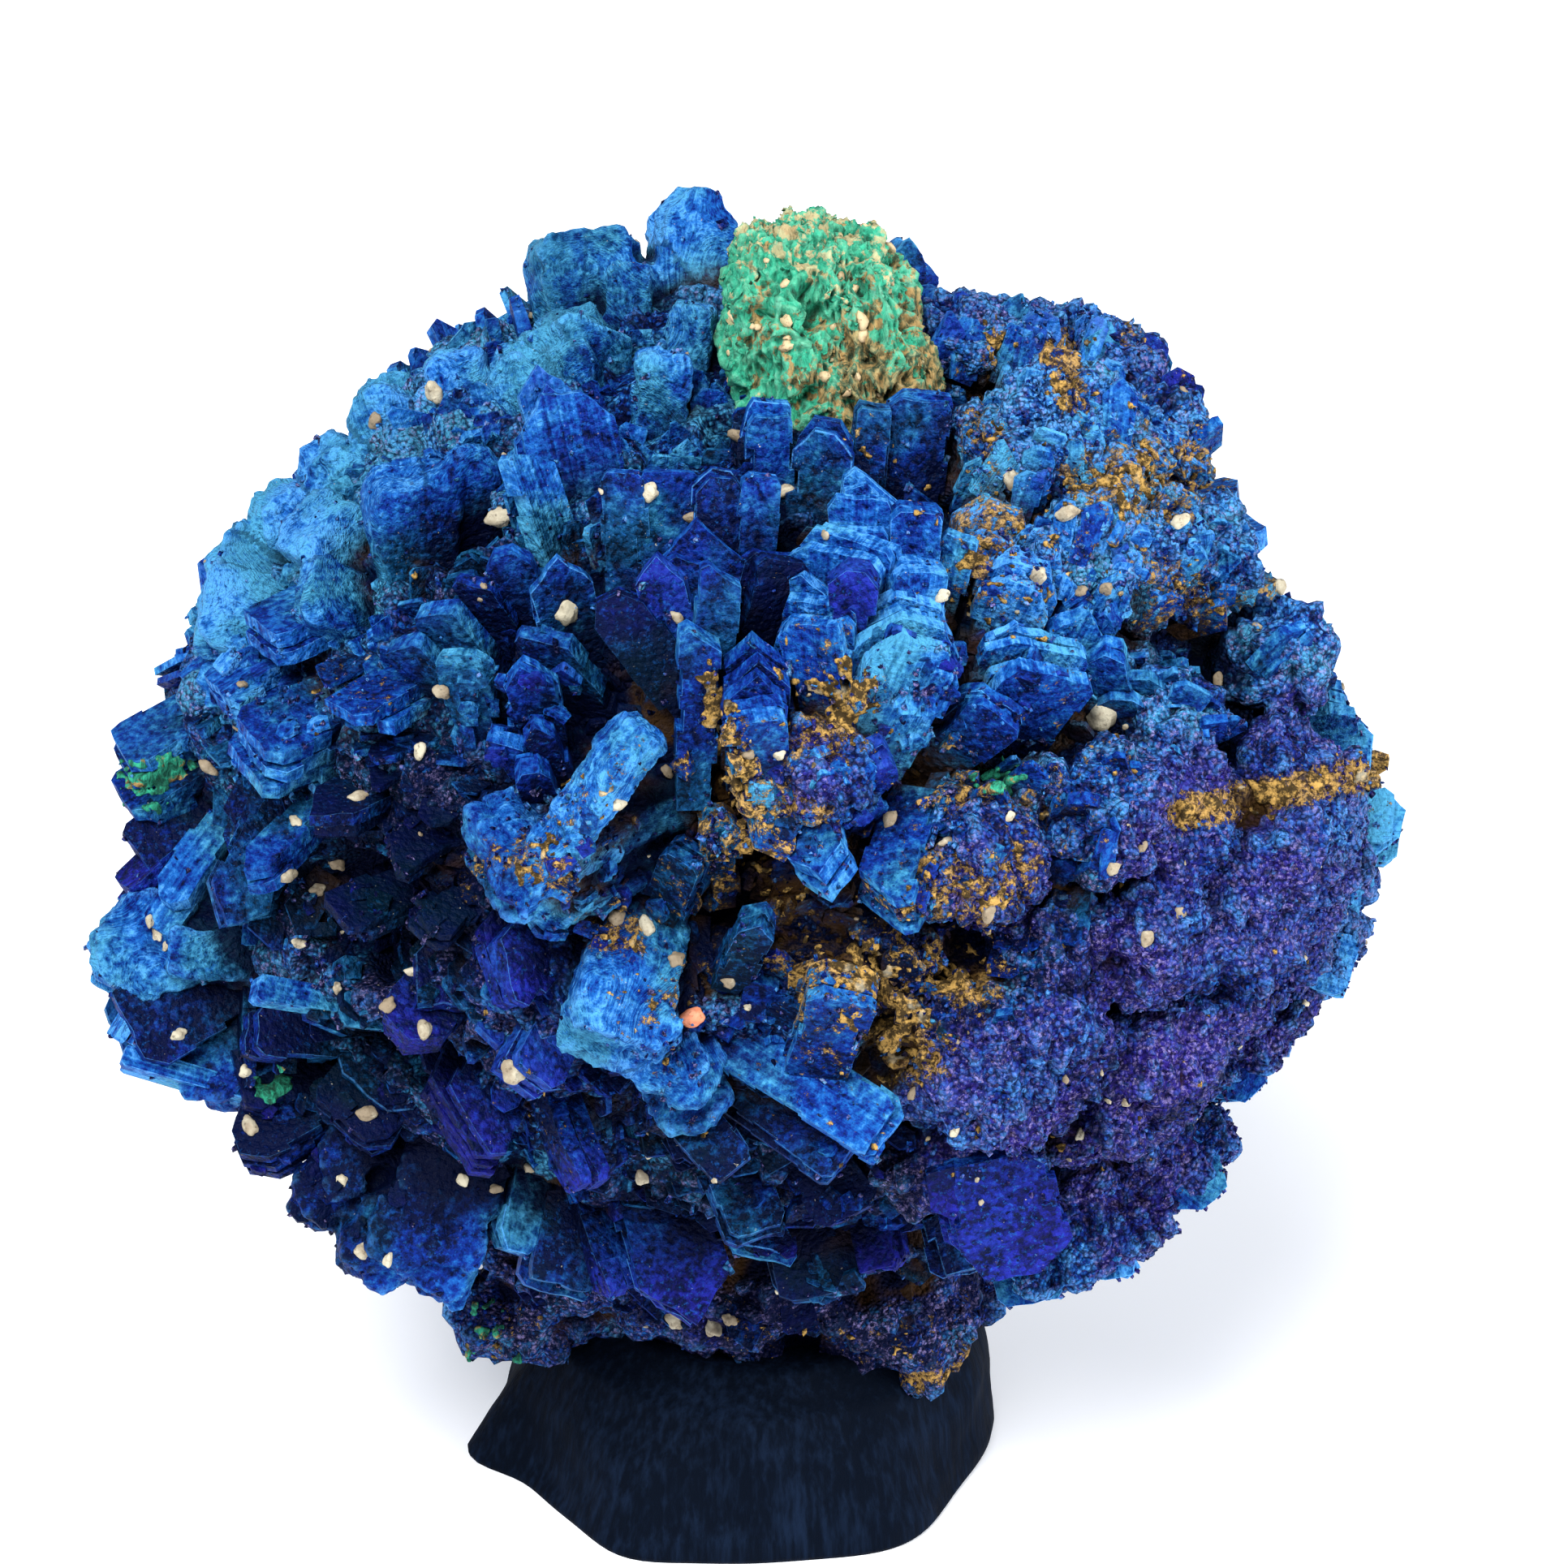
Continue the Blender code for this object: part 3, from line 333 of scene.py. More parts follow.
# Drusy swellings: across, up, how deep the middle lies under the skin, then the half
# sizes across, upwards and outwards.
SWELLINGS = (
    (5.4, 10, 0.6, 1.2, 1.2, 1.2), (6.8, 9.6, 0.8, 1.4, 1.2, 1.3), (8.4, 9.1, 0.8, 1.6, 1.7, 1.6),
    (9.5, 7.2, 0.8, 1.5, 1.6, 1.7), (7.6, 7.2, 0.8, 2.7, 1.9, 2), (8.8, 5, 0.7, 2.6, 1.7, 1.8),
    (10.7, 4.9, 0.6, 1.4, 1.4, 1.6), (12.7, 2.4, 0.5, 1.4, 1.25, 1.5),
    (8.6, -1.2, 0.2, 1.8, 1.5, 1.4), (9.9, -4.2, 0.2, 2, 1.5, 1.3),
    (10.3, -1.5, 0.5, 1.5, 2.2, 1.3), (10.2, 0.9, 0.8, 1.4, 1.2, 1.2),
    (7.4, -4.6, 0.8, 1.6, 1.5, 1), (5.6, -2.4, 0.6, 1.7, 1.6, 1.3), (6.3, -7, 0.6, 2.4, 2.8, 1.6),
    (9.4, -7.4, 0.6, 2.4, 2.6, 1.6), (10.2, -9.5, 0.4, 1.5, 1.4, 1.3),
    (1.9, -0.4, 0.2, 1.3, 1.2, 1.1), (5.2, -9.6, 0.8, 1.9, 1.5, 1.2),
    (12.4, -2.8, 0.4, 3, 3.6, 1.8),
)
# The stub under the rosette: middle in the frame and half sizes of each lump, and how high
# and how far out the stub reaches.
STUB_LUMPS = (
    ((0.2, 0.0, 6.6), (5.6, 5.2, 3.6)),
    ((3.4, -1.9, 5.5), (3.0, 2.9, 2.3)),
    ((-4.4, -1.6, 6.2), (2.4, 2.2, 2.2)),
    ((-5.6, -2.2, 4.7), (1.5, 1.4, 1.5)),
)
STUB_TOP = 9.0
STUB_REACH = 7.6
# Hollows sunk in the core: across, up, then the half sizes across, upwards and inwards.
HOLLOWS = (
    (-1, -2.9, 1.5, 2, 3), (-9.4, -3.8, 2.6, 1.6, 2.2), (-8.6, -7.6, 2.2, 1.4, 2),
    (0.8, 4, 1, 0.9, 2), (-7, 5.6, 1.2, 0.9, 1.6),
)

# Crystals on the back and underside, spread on a spiral.
BACK_SPIRAL = 74
BACK_STARTS_AT = 0.12
STUB_CLEARANCE = -0.80
BACK_LEAN = 0.42
BACK_WIDTH = (4.2, 6.6)
BACK_LENGTH = (5.0, 6.5)
BACK_THICKNESS = (1.8, 3.6)
BACK_LIFT = (-0.6, 1.1)
LIMB_SINK = 2.2
BACK_LOOKS = ("blue", "azure", "deep", "blue", "teal", "azure", "violet", "blue")

# How much paler, or darker if negative, azurite is on the back and on the stub; the stub's
# darkening is painted shade under the rosette.
BACK_TONE = 0.08
STUB_SHADE = -0.32
# Farther back than this, the patches below count no more.
PATCHES_END = -2.0

# Violet druse: across, up and radius of each patch on the front.
DRUSE_PATCHES = (
    (12.3, -2.8, 4), (13.3, 0, 2), (11.2, -6.2, 4), (9.2, -8.2, 3.4), (5.8, -8.2, 2.4),
    (10.2, -10.4, 2.3), (9.4, -12, 1.4), (1.8, -0.4, 1.5), (6.2, -3, 1.6),
)
# Where tiny crystals stand on azurite that isn't violet: across, up and radius.
SUGAR_PATCHES = (
    (7.6, 6.4, 3.8), (10.6, 4.6, 2.2), (7.6, 10, 2.4), (3.8, -3.6, 3.4), (5.4, 1, 2.4),
    (0.8, -2, 2.2), (2.6, 1.8, 1.4), (-4.2, -2, 2), (-1.4, -6.4, 1.4), (-10.4, 1.4, 1.6),
    (3.8, -14.2, 2.6), (-9, -3.6, 2.4),
)
# Where the crystals are broken into small pieces: across, up and radius.
BROKEN_PATCHES = (
    (1.4, -1.6, 3.6), (5.4, 2.6, 2.8), (4.4, -4.6, 2.8), (8.4, 5.6, 3), (-3.6, -2.6, 2),
    (-8.6, -4, 2.6), (-9.6, -9.6, 2.8), (2, -11.6, 2.4), (-5.6, 1.6, 2), (-11.6, 1.4, 1.8),
)
# Where azurite is paler or darker than its own tone: across, up, radius, how much.
TONE_PATCHES = (
    (-11.2, 5, 4.2, 0.34), (-7.2, 9.2, 3, 0.24), (-3, 11.6, 3, 0.2), (4.3, 12, 2, 0.1),
    (7.2, 6.2, 3.6, 0.32), (10.6, 5.6, 3, 0.28), (7.4, 10.2, 3, 0.34), (3.6, 3, 2.6, 0.02),
    (-4.4, -2, 2.6, 0.04), (-1.5, -7.6, 1.4, 0.04), (-15, -4.6, 1.4, 0.1), (-12, -4.8, 1.6, 0.1),
    (-8.4, -3.4, 3.8, -0.46), (-12.8, -6.6, 1.8, -0.24), (-9.8, -10.4, 3.8, -0.62),
    (-2, -11.2, 3.6, -0.3), (0.2, -3.2, 2.2, -0.26), (-6.6, 4.4, 2.2, -0.16), (0.6, 4, 1.8, -0.2),
    (-10.6, 2.8, 2, -0.14), (3.4, -12.6, 3, -0.16), (8, -4.4, 1.8, -0.2), (-8.2, -12.4, 1.6, 0.06),
    (8.4, -12.2, 1.6, 0.16), (13, -2.6, 3.4, 0.14), (-6.6, -8.4, 2.4, -0.12),
    (-2.6, 4.6, 2.2, -0.08), (3.4, -14.4, 2.8, -0.14), (1.7, -8.2, 2.2, -0.08),
    (4.4, -5.6, 2.4, -0.22), (8.4, -9, 3.4, -0.04), (6.4, -11, 1.6, -0.14), (-3, 11.6, 2.4, 0.1),
    (15.7, -1.4, 1.5, 0.2), (15.3, -4.2, 1.3, 0.2), (-7, -3.4, 2.4, -0.14),
    (-9.4, -6.6, 2.4, -0.14), (0, -9.6, 2, -0.1), (3, -11.2, 2, -0.1),
)
# Ochre clay in the crevices: across and up at both ends of a streak, half width, how thick.
CLAY_STREAKS = (
    (-0.8, 2, -0.2, -0.4, 0.4, 1.1), (-0.4, 0.4, 0.4, -1.9, 0.5, 1.1),
    (0.2, -1.9, 1.2, -3.6, 0.5, 0.8), (1.2, 2.2, 1.6, 1.9, 0.6, 0.8), (2.7, 1.5, 2.2, 1.1, 0.9, 1),
    (2.2, -4.8, 3.4, -5.5, 0.9, 1), (3.5, -6.3, 4.1, -7, 0.9, 1), (4.8, -4.9, 5.6, -5.4, 0.7, 1),
    (-3.3, -4.1, -2.6, -4.3, 0.6, 0.8), (5.5, 4, 6, 5.2, 0.7, 0.8), (6, -3, 6.6, -3.1, 0.6, 0.7),
    (10.6, -1.3, 15.1, -0.3, 0.4, 1.3), (7.6, 9.9, 7.9, 8.7, 0.5, 1),
    (6.1, 10.2, 6, 9.2, 0.35, 0.8), (9.2, 10.2, 9.6, 9.8, 0.4, 0.6), (9.3, 7.3, 10.2, 6.4, 1, 0.8),
    (8.1, 6.9, 9.3, 6.2, 0.8, 0.8), (10, 4.4, 11.2, 3.9, 0.8, 0.7),
    (10.7, 7.4, 11.2, 6.9, 0.6, 0.7), (5.6, 8.1, 6, 7.4, 0.6, 0.7),
    (-5.4, -2.3, -4.6, -2.9, 0.6, 0.7), (-5, -2.4, -2.6, 0.2, 0.7, 0.45),
    (2.6, 7.9, 2.8, 7.5, 0.3, 0.8), (-8.8, 4.6, -7.6, 4.8, 0.5, 0.35),
    (-10.4, 1.5, -9.2, 1.7, 0.8, 0.45), (6.6, 1, 9, 0, 0.8, 0.45), (4.2, -3, 6, -4.2, 0.9, 0.5),
    (2.6, -6.4, 7.6, -1.2, 1.7, 0.5), (6, 4, 10.6, 7.6, 1.8, 0.5), (1.6, 3, 3.2, 0.4, 1, 0.45),
    (9.8, -8.6, 13.6, -3.6, 1.4, 0.26), (2.7, -15.1, 5, -14.8, 0.24, 1),
    (5, -14.8, 6, -13.9, 0.24, 0.9), (0, -14.2, 5, -14, 0.9, 0.45),
    (-6, -14, -5.2, -13.4, 0.6, 0.5), (-1.4, -5.2, -2.2, -6.4, 0.5, 0.6),
    (-6, -2.2, -6.6, -2.9, 0.5, 0.6), (-4, -4.2, -1.2, -8.4, 0.9, 0.38),
    (-6.4, -6, -3.8, -10.6, 0.7, 0.36), (0.2, -6.4, 4.2, -10.2, 1, 0.34),
    (5, -7, 10, -10, 1.6, 0.3), (3, 7.6, 5.6, 5, 0.8, 0.4), (-3.4, 5.8, -4, 5.2, 0.4, 0.4),
)
# Cream sand grains that stand out: across, up and diameter.
SAND_GRAINS = (
    (-2.2, 6.4, 0.5), (1, 6.4, 0.45), (-5.8, 5.8, 0.65), (-4.2, 3.5, 0.55), (7.8, 5.9, 0.5),
    (10.5, 5.7, 0.55), (8.6, 1, 0.8), (-7.2, 1.6, 0.45), (-7.4, 8.8, 0.55), (-8.8, 8.1, 0.4),
    (-1.2, 5.8, 0.35), (6.5, 6.7, 0.5), (4.8, 3.9, 0.4), (7.1, 4.4, 0.45), (11.4, 1.9, 0.35),
    (-12.8, -0.2, 0.45), (-7.7, 0.2, 0.4), (-9.2, -0.9, 0.45), (-10.7, -1.5, 0.4),
    (-9.7, -2.5, 0.4), (-10.2, -3.15, 0.4), (-10.9, -2.8, 0.45), (-14, -4.2, 0.4),
    (-13.8, -4.5, 0.35), (-14.2, -3.9, 0.3), (-10.6, -4.4, 0.35), (-8.5, -5.9, 0.45),
    (-7.6, -6.5, 0.45), (-7.9, -5.1, 0.35), (-9.7, -5.5, 0.35), (-13.5, -6.6, 0.4),
    (-11.9, -7.5, 0.4), (-11.8, -8.8, 0.5), (-9, -8.5, 0.45), (-5.5, -7.5, 0.7),
    (-9.1, -11.8, 0.45), (-8.5, -12, 0.35), (-9.6, -10.1, 0.35), (-6.7, -10.1, 0.4),
    (-5.9, -10.3, 0.35), (-2.4, -10, 0.45), (-3, -1.1, 0.4), (-3, -3.8, 0.5), (-2.3, -4, 0.45),
    (-1.6, -4.8, 0.45), (-1.8, -0.3, 0.35), (0.9, 0.1, 0.3), (4.9, -2, 0.4), (5.9, -3.7, 0.4),
    (6.4, -1.4, 0.3), (9.6, -2.1, 0.3), (10.5, -3.7, 0.35), (9.7, -4.3, 0.35), (4.1, -8, 0.35),
    (9.2, -8.2, 0.3), (8.1, -9, 0.3), (5.1, -8.9, 0.3), (-1.6, -13.45, 0.55), (-0.7, -13.6, 0.5),
    (-0.3, -13.45, 0.35),
)
PINK_GRAIN = (-1.2, -6.2, 0.5)
# Small malachite crusts on the azurite: across, up and radius.
GREEN_SPOTS = (
    (6.2, -0.6, 0.6), (-14.3, -0.6, 0.9), (-13.8, -0.2, 0.6), (-11.3, -7.8, 0.5), (-11, -8.1, 0.3),
    (-6.6, -14.4, 0.8), (-6.1, -13.4, 0.5), (-5.4, -14.7, 0.5),
)

# Facets of the skins, as shares of the body's, and those of clay and malachite crusts.
SWELLING_GRAIN_SHARE = 0.6
WEATHERED_GRAIN_SHARE = 0.52
CLAY_GRAIN = 0.07
SPOT_GRAIN = 0.06

# Rays that look for a place on the rosette or on the tuft start this far from its middle.
ROSETTE_RAY = 40.0
TUFT_RAY = 20.0

# Seeds of the random draws. The front groups are drawn with their numbers, from 0 up.
SEEDS = {
    "blocks": 5, "back": 11, "druse": 17, "clay": 23, "sand": 31, "spots": 37, "back_books": 40,
    "tuft": 43, "blades": 71, "chips": 73,
}
STUB_SEED = 30

# Colours that come with those that a user may change.
# Near-black for the painted shade in the azurite's hollows.
SHADE_BLACK = (0.0, 0.0, 0.0)
PALE_TEAL = (0.05, 0.26, 0.4)
# Colour of the painted glints on the druse.
GLINT_LILAC = (0.27, 0.22, 0.48)
# Brown of the painted shade where clay lies in the hollows.
BROWN_SHADE = (0.055, 0.026, 0.008)
SAND_SHADE = (0.22, 0.17, 0.11)
PINK_SAND = (0.85, 0.36, 0.22)
PINK_SHADE = (0.62, 0.2, 0.1)
TAN_SAND = (0.5, 0.38, 0.22)
TAN_SHADE = (0.26, 0.13, 0.05)
DARK_RUST = (0.028, 0.01, 0.003)
RUST = (0.4, 0.2, 0.055)
CREAM = (0.5, 0.37, 0.19)
RIDGE_GREEN = (0.2, 0.42, 0.26)
# Colour of the painted shade in the malachite's pits.
PIT_SHADE_GREEN = (0.012, 0.016, 0.006)

# The stage's two lights: place and width in metres, and power as a share of the key's.
LIGHTS = {
    "key": (Vector((-0.09, -0.2, 0.3)), 0.2, 1.0),
    "side": (Vector((0.26, -0.12, 0.12)), 0.16, 0.45),
}


def length_property(name, description, default):
    """A length that a user may change, with its default in millimetres."""
    return bpy.props.FloatProperty(
        name=name, description=description, default=default * MM, unit="LENGTH"
    )


def count_property(name, description, default):
    """A number of things that a user may change."""
    return bpy.props.IntProperty(name=name, description=description, default=default, min=0)


def strength_property(name, description, default, unit="NONE"):
    """A strength of light that a user may change."""
    return bpy.props.FloatProperty(
        name=name, description=description, default=default, min=0.0, unit=unit
    )


def colour_property(name, description, default):
    """A colour that a user may change, in linear red, green and blue."""
    return bpy.props.FloatVectorProperty(
        name=name, description=description, default=default, subtype="COLOR", size=3, min=0.0,
        max=1.0,
    )


class SpecimenSizes(bpy.types.PropertyGroup):
    """Sizes and numbers of what grows on the specimen."""

    leaf_pitch: length_property("Leaf pitch", "Depth of one leaf in a front crystal", 0.25)
    back_leaf_pitch: length_property("Back leaf pitch", "Depth of one leaf in a back crystal", 0.42)
    rim: length_property("Rim", "Width of the worn rim round each leaf", 0.035)
    strip: length_property("Strip", "Widest leaf before a crystal splits side by side", 1.9)
    body_grain: length_property("Body grain", "Facet size of the rosette's body", 0.21)
    front_blades: count_property("Front blades", "Blades tried between the front crystals", 7200)
    back_blades: count_property("Back blades", "Blades tried between the back crystals", 6400)
    chips: count_property("Chips", "Broken pieces tried on the damaged crystals", 11000)
    sugar: count_property("Sugar", "Tiny crystals tried for the druse", 42000)
    loose_grains: count_property("Loose grains", "Small sand grains strewn all over", 260)
    tuft_flakes: count_property("Tuft flakes", "Flakes tried on the malachite tuft", 260)
    tuft_grains: count_property("Tuft grains", "Sand grains tried on the malachite tuft", 46)


class SpecimenColours(bpy.types.PropertyGroup):
    """Colours of the minerals, the sand, the clay and the putty."""

    navy: colour_property("Navy", "Azurite in its darkest, thickest faces", (0.0008, 0.003, 0.022))
    ultramarine: colour_property("Ultramarine", "Azurite's broad faces", (0.0022, 0.017, 0.165))
    azure: colour_property("Azure", "Rough or thin azurite", (0.007, 0.09, 0.34))
    pale: colour_property("Pale azure", "Worn and dusty azurite", (0.072, 0.29, 0.67))
    violet: colour_property("Violet", "Azurite's druse", (0.034, 0.015, 0.235))
    indigo: colour_property("Indigo", "Azurite's glassy tips", (0.015, 0.014, 0.28))
    teal: colour_property("Teal", "Azurite turning to malachite", (0.004, 0.055, 0.11))
    clay: colour_property("Clay", "Ochre clay in the crevices", (0.42, 0.25, 0.065))
    sand: colour_property("Sand", "Cream sand grains", (0.46, 0.42, 0.31))
    malachite: colour_property("Malachite", "The green tuft", (0.024, 0.34, 0.2))
    bottle: colour_property("Bottle green", "Malachite in its crust's shade", (0.003, 0.055, 0.034))
    putty: colour_property("Putty", "The mounting putty", (0.0013, 0.0029, 0.0072))


class SpecimenStage(bpy.types.PropertyGroup):
    """The floor and the studio light."""

    floor: colour_property("Floor", "The pale floor", (0.9, 0.91, 0.94))
    sky: colour_property("Fill light", "Soft light from all round", (0.9, 0.94, 1.0))
    sky_strength: strength_property("Fill strength", "Strength of the light from all round", 0.42)
    key_power: strength_property("Key power", "Power of the large soft light", 2.4, "POWER")
    floor_glow: strength_property("Floor glow", "Light that comes up through the floor", 0.21)
    floor_width: length_property("Floor width", "Width of the floor", 1600.0)


def in_mm(length):
    return length / MM


# ---------------- places and directions


CRYSTAL_FIELDS = "tip axes width length thickness look end"


class Crystal(namedtuple("Crystal", CRYSTAL_FIELDS, defaults=("flat",))):
    """Where a crystal ends, how it lies, its size in millimetres and its look."""

    def middle(self):
        return self.tip - self.axes[1] * 0.5 * self.width


def seen(across, up, depth):
    """The point in the frame at this place of the front view, corrected for perspective."""
    near = 1.0 - depth / EYE_DISTANCE
    x = EYE_AXIS[0] + (across - EYE_AXIS[0]) * near
    y = EYE_AXIS[1] + (up - EYE_AXIS[1]) * near
    return ROSETTE_MIDDLE + x * RIGHT + y * RISE + depth * TOWARD


def front_view(point):
    """Across, up and depth of a point in the frame, as the front view shows it."""
    local = point - ROSETTE_MIDDLE
    depth = local.dot(TOWARD)
    near = 1.0 - depth / EYE_DISTANCE
    across = EYE_AXIS[0] + (local.dot(RIGHT) - EYE_AXIS[0]) / near
    up = EYE_AXIS[1] + (local.dot(RISE) - EYE_AXIS[1]) / near
    return across, up, depth


def skin_depth(across, up):
    """How far out of the view's middle plane the rosette's skin lies there."""
    inside = 1.0 - (across / SKIN_HALF[0]) ** 2 - (up / SKIN_HALF[1]) ** 2
    return SKIN_HALF[2] * math.sqrt(max(LEAST_DEPTH, inside))


def skin_axes(across, up):
    """Unit vectors sideways, upwards and outwards on the skin there."""
    local = (across, up, skin_depth(across, up))
    axes = (RIGHT, RISE, TOWARD)
    steep = (c / h ** 2 * axis for c, h, axis in zip(local, SKIN_HALF, axes))
    outward = sum(steep, Vector()).normalized()
    sideways = RISE.cross(outward).normalized()
    return sideways, outward.cross(sideways), outward


def crystal_axes(aim, out, roll):
    """Unit vectors along a crystal's width, length and thickness."""
    aim, out, roll = (math.radians(a) for a in (aim, out, roll))
    flat = math.sin(aim) * RIGHT + math.cos(aim) * RISE
    along = math.cos(out) * flat + math.sin(out) * TOWARD
    facing = (TOWARD - TOWARD.dot(along) * along).normalized()
    normal = math.cos(roll) * facing + math.sin(roll) * along.cross(facing)
    return along.cross(normal), along, normal


def front_crystals(rows):
    """The crystals of a table."""
    made = []
    for across, up, lift, aim, out, roll, *rest in rows:
        tip = seen(across, up, skin_depth(across, up) + lift)
        made.append(Crystal(tip, crystal_axes(aim, out, roll), *rest))
    return made


def all_front_crystals():
    return front_crystals(sum(FRONT_GROUPS.values(), ()))


def back_crystals():
    """Crystals for the hidden half."""
    draw = random.Random(SEEDS["back"])
    turn = math.pi * (3.0 - math.sqrt(5.0))
    made = []
    for i in range(BACK_SPIRAL):
        height = 1.0 - 2.0 * (i + 0.5) / BACK_SPIRAL
        ring = math.sqrt(1.0 - height * height)
        ray = Vector((ring * math.cos(i * turn), ring * math.sin(i * turn), height))
        lean = Vector([draw.uniform(-BACK_LEAN, BACK_LEAN) for _ in range(3)])
        lift, width, length, thickness = (
            draw.uniform(*limits)
            for limits in (BACK_LIFT, BACK_WIDTH, BACK_LENGTH, BACK_THICKNESS)
        )
        roll, end = draw.uniform(0.0, math.pi), draw.choice(sorted(ENDS))
        if ray.dot(TOWARD) > BACK_STARTS_AT or ray.z < STUB_CLEARANCE:
            continue
        local = (ray.dot(RIGHT), ray.dot(RISE), ray.dot(TOWARD))
        lift -= LIMB_SINK * max(0.0, 1.0 - 2.0 * abs(local[2]))
        reach = 1.0 / math.sqrt(sum((c / h) ** 2 for c, h in zip(local, SKIN_HALF)))
        along = (ray + lean).normalized()
        across = along.orthogonal().normalized()
        normal = Matrix.Rotation(roll, 3, along) @ across
        tip = ROSETTE_MIDDLE + ray * (reach + lift)
        axes = (along.cross(normal), along, normal)
        look = BACK_LOOKS[i % len(BACK_LOOKS)]
        made.append(Crystal(tip, axes, width, length, thickness, look, end))
    return made


def spread(value, low, high):
    """0 below low, 1 above high, and an even ramp between."""
    return min(1.0, max(0.0, (value - low) / (high - low)))


def bumps(place, scale=1.0, shift=0.0):
    """Smooth noise at a place, about -1 to 1, in lumps of about 1 / scale millimetres."""
    return noise.noise(place * scale + Vector((shift, 0.0, 0.0)))


def ridges(place):
    """Noise that is 1 along sharp ridges and falls away from them."""
    return 1.0 - 2.0 * abs(noise.noise(place))


def height_share(point):
    """How far up between the body and the tips a point lies, 0 to 1."""
    local = point - ROSETTE_MIDDLE
    parts = zip((local.dot(axis) for axis in (RIGHT, RISE, TOWARD)), SKIN_HALF)
    reach = math.sqrt(sum((c / h) ** 2 for c, h in parts))
    return spread((reach - 1.0) * SKIN_HALF[1], -2.1, 0.6)


def cover(across, up, patches):
    """How near a place is to the middle of its nearest patch: 1 there, 0 at the patch's edge."""
    return max(1.0 - math.hypot(across - x, up - y) / radius for x, y, radius in patches)


def druse_share(point):
    """How far the violet druse covers the rosette at this point, 0 to 1."""
    across, up, depth = front_view(point)
    edge = 0.25 * bumps(point, 0.6)
    if on_stub(point):
        return 0.0
    if depth < 0.0 and across < SKIN_HALF[0] * 0.8:
        return spread(noise.noise(point * 0.13 + Vector((7.0, 0.0, 3.0))) + edge, 0.12, 0.3)
    return spread(cover(across, up, DRUSE_PATCHES) + edge, 0.0, 0.25)


def sugar_share(point):
    """How thickly tiny crystals stand at this point, 0 to 1."""
    across, up, depth = front_view(point)
    share = max(0.1, druse_share(point), 0.5 * clay_share(point))
    if depth > PATCHES_END:
        edge = 0.3 * bumps(point)
        share = max(share, spread(cover(across, up, SUGAR_PATCHES) + edge, 0.0, 0.4))
    return share


def broken_share(point):
    """How much the crystals are broken up at this point, 0 to 1."""
    across, up, depth = front_view(point)
    if depth < 0.0:
        return 0.0
    return spread(cover(across, up, BROKEN_PATCHES) + 0.4 * bumps(point, 0.9), 0.0, 0.5)


def on_stub(point):
    return point.z < STUB_TOP and math.hypot(point.x, point.y) < STUB_REACH


def tone_shift(point):
    """How much paler, or darker if negative, azurite is here than its own tone."""
    across, up, depth = front_view(point)
    if on_stub(point):
        # Painted shade on the stub under the rosette.
        return STUB_SHADE
    tone = 0.14 * bumps(point, 0.25, 3.0)
    if depth < PATCHES_END:
        return tone + BACK_TONE
    for x, y, radius, amount in TONE_PATCHES:
        away = math.hypot(across - x, up - y)
        tone += amount * (1.0 - spread(away, 0.45 * radius, 1.15 * radius))
    return tone


def clay_share(point):
    """How much ochre clay lies at this point, 0 to 1."""
    across, up, depth = front_view(point)
    crumbs = 0.22 * spread(noise.noise(point * 0.45 + Vector((0.0, 5.0, 0.0))), 0.15, 0.5)
    crumbs = max(crumbs, 0.3 if on_stub(point) else 0.0)
    if depth < 0.0 and not on_stub(point):
        return 2.0 * crumbs
    middle = 1.0 - spread(math.hypot((across - 2.5) / 8.0, (up + 2.0) / 5.5), 0.55, 1.1)
    most = max(crumbs, 0.74 * middle * spread(bumps(point, 0.75), -0.1, 0.25))
    for x0, y0, x1, y1, half_width, amount in CLAY_STREAKS:
        run = (x1 - x0) ** 2 + (y1 - y0) ** 2
        share = spread((across - x0) * (x1 - x0) + (up - y0) * (y1 - y0), 0.0, run)
        away = math.hypot(across - x0 - share * (x1 - x0), up - y0 - share * (y1 - y0))
        most = max(most, amount * (1.0 - spread(away, 0.35 * half_width, 1.9 * half_width)))
    return most


def random_ray(draw):
    """A unit vector, any way round."""
    while True:
        ray = Vector([draw.uniform(-1.0, 1.0) for _ in range(3)])
        if 0.1 < ray.length < 1.0:
            return ray.normalized()


# ---------------- meshes


class Pile:
    """Small meshes gathered into one, in millimetres."""

    def __init__(self):
        self.mesh = bmesh.new()
        self.scratch = bpy.data.meshes.new("scratch")

    def add(self, small):
        small.to_mesh(self.scratch)
        small.free()
        self.mesh.from_mesh(self.scratch)

    def add_copy(self, pattern, matrix, look):
        """A copy of a pattern mesh, moved and given a look of its own."""
        faces = len(pattern.polygons)
        pattern.attributes["finish"].data.foreach_set("vector", list(look) * faces)
        pattern.transform(matrix)
        self.mesh.from_mesh(pattern)
        pattern.transform(matrix.inverted())

    def close(self):
        bpy.data.meshes.remove(self.scratch)
        return self.mesh


class Ground:
    """The surfaces that grains, clay and small crystals land on, in millimetres."""

    def __init__(self):
        self.trees = {}

    def lay(self, name, mesh):
        self.trees[name] = BVHTree.FromBMesh(mesh)

    def hit(self, start, way, names=None):
        """The nearest place along a ray, its normal and its distance, or None."""
        best = None
        for name, tree in self.trees.items():
            if names and name not in names:
                continue
            place, normal, _, distance = tree.ray_cast(start, way)
            if place is not None and (best is None or distance < best[2]):
                best = (place, normal, distance)
        return best

    def struck(self, draw, middle, away, names=None):
        """Where a ray aimed at this middle from any side, from this far away, hits."""
        ray = random_ray(draw)
        return self.hit(middle + away * ray, -ray, names)


def closed(mesh, name):
    """A bmesh's points and faces as mesh data; the bmesh is freed."""
    data = bpy.data.meshes.new(name)
    mesh.to_mesh(data)
    mesh.free()
    return data


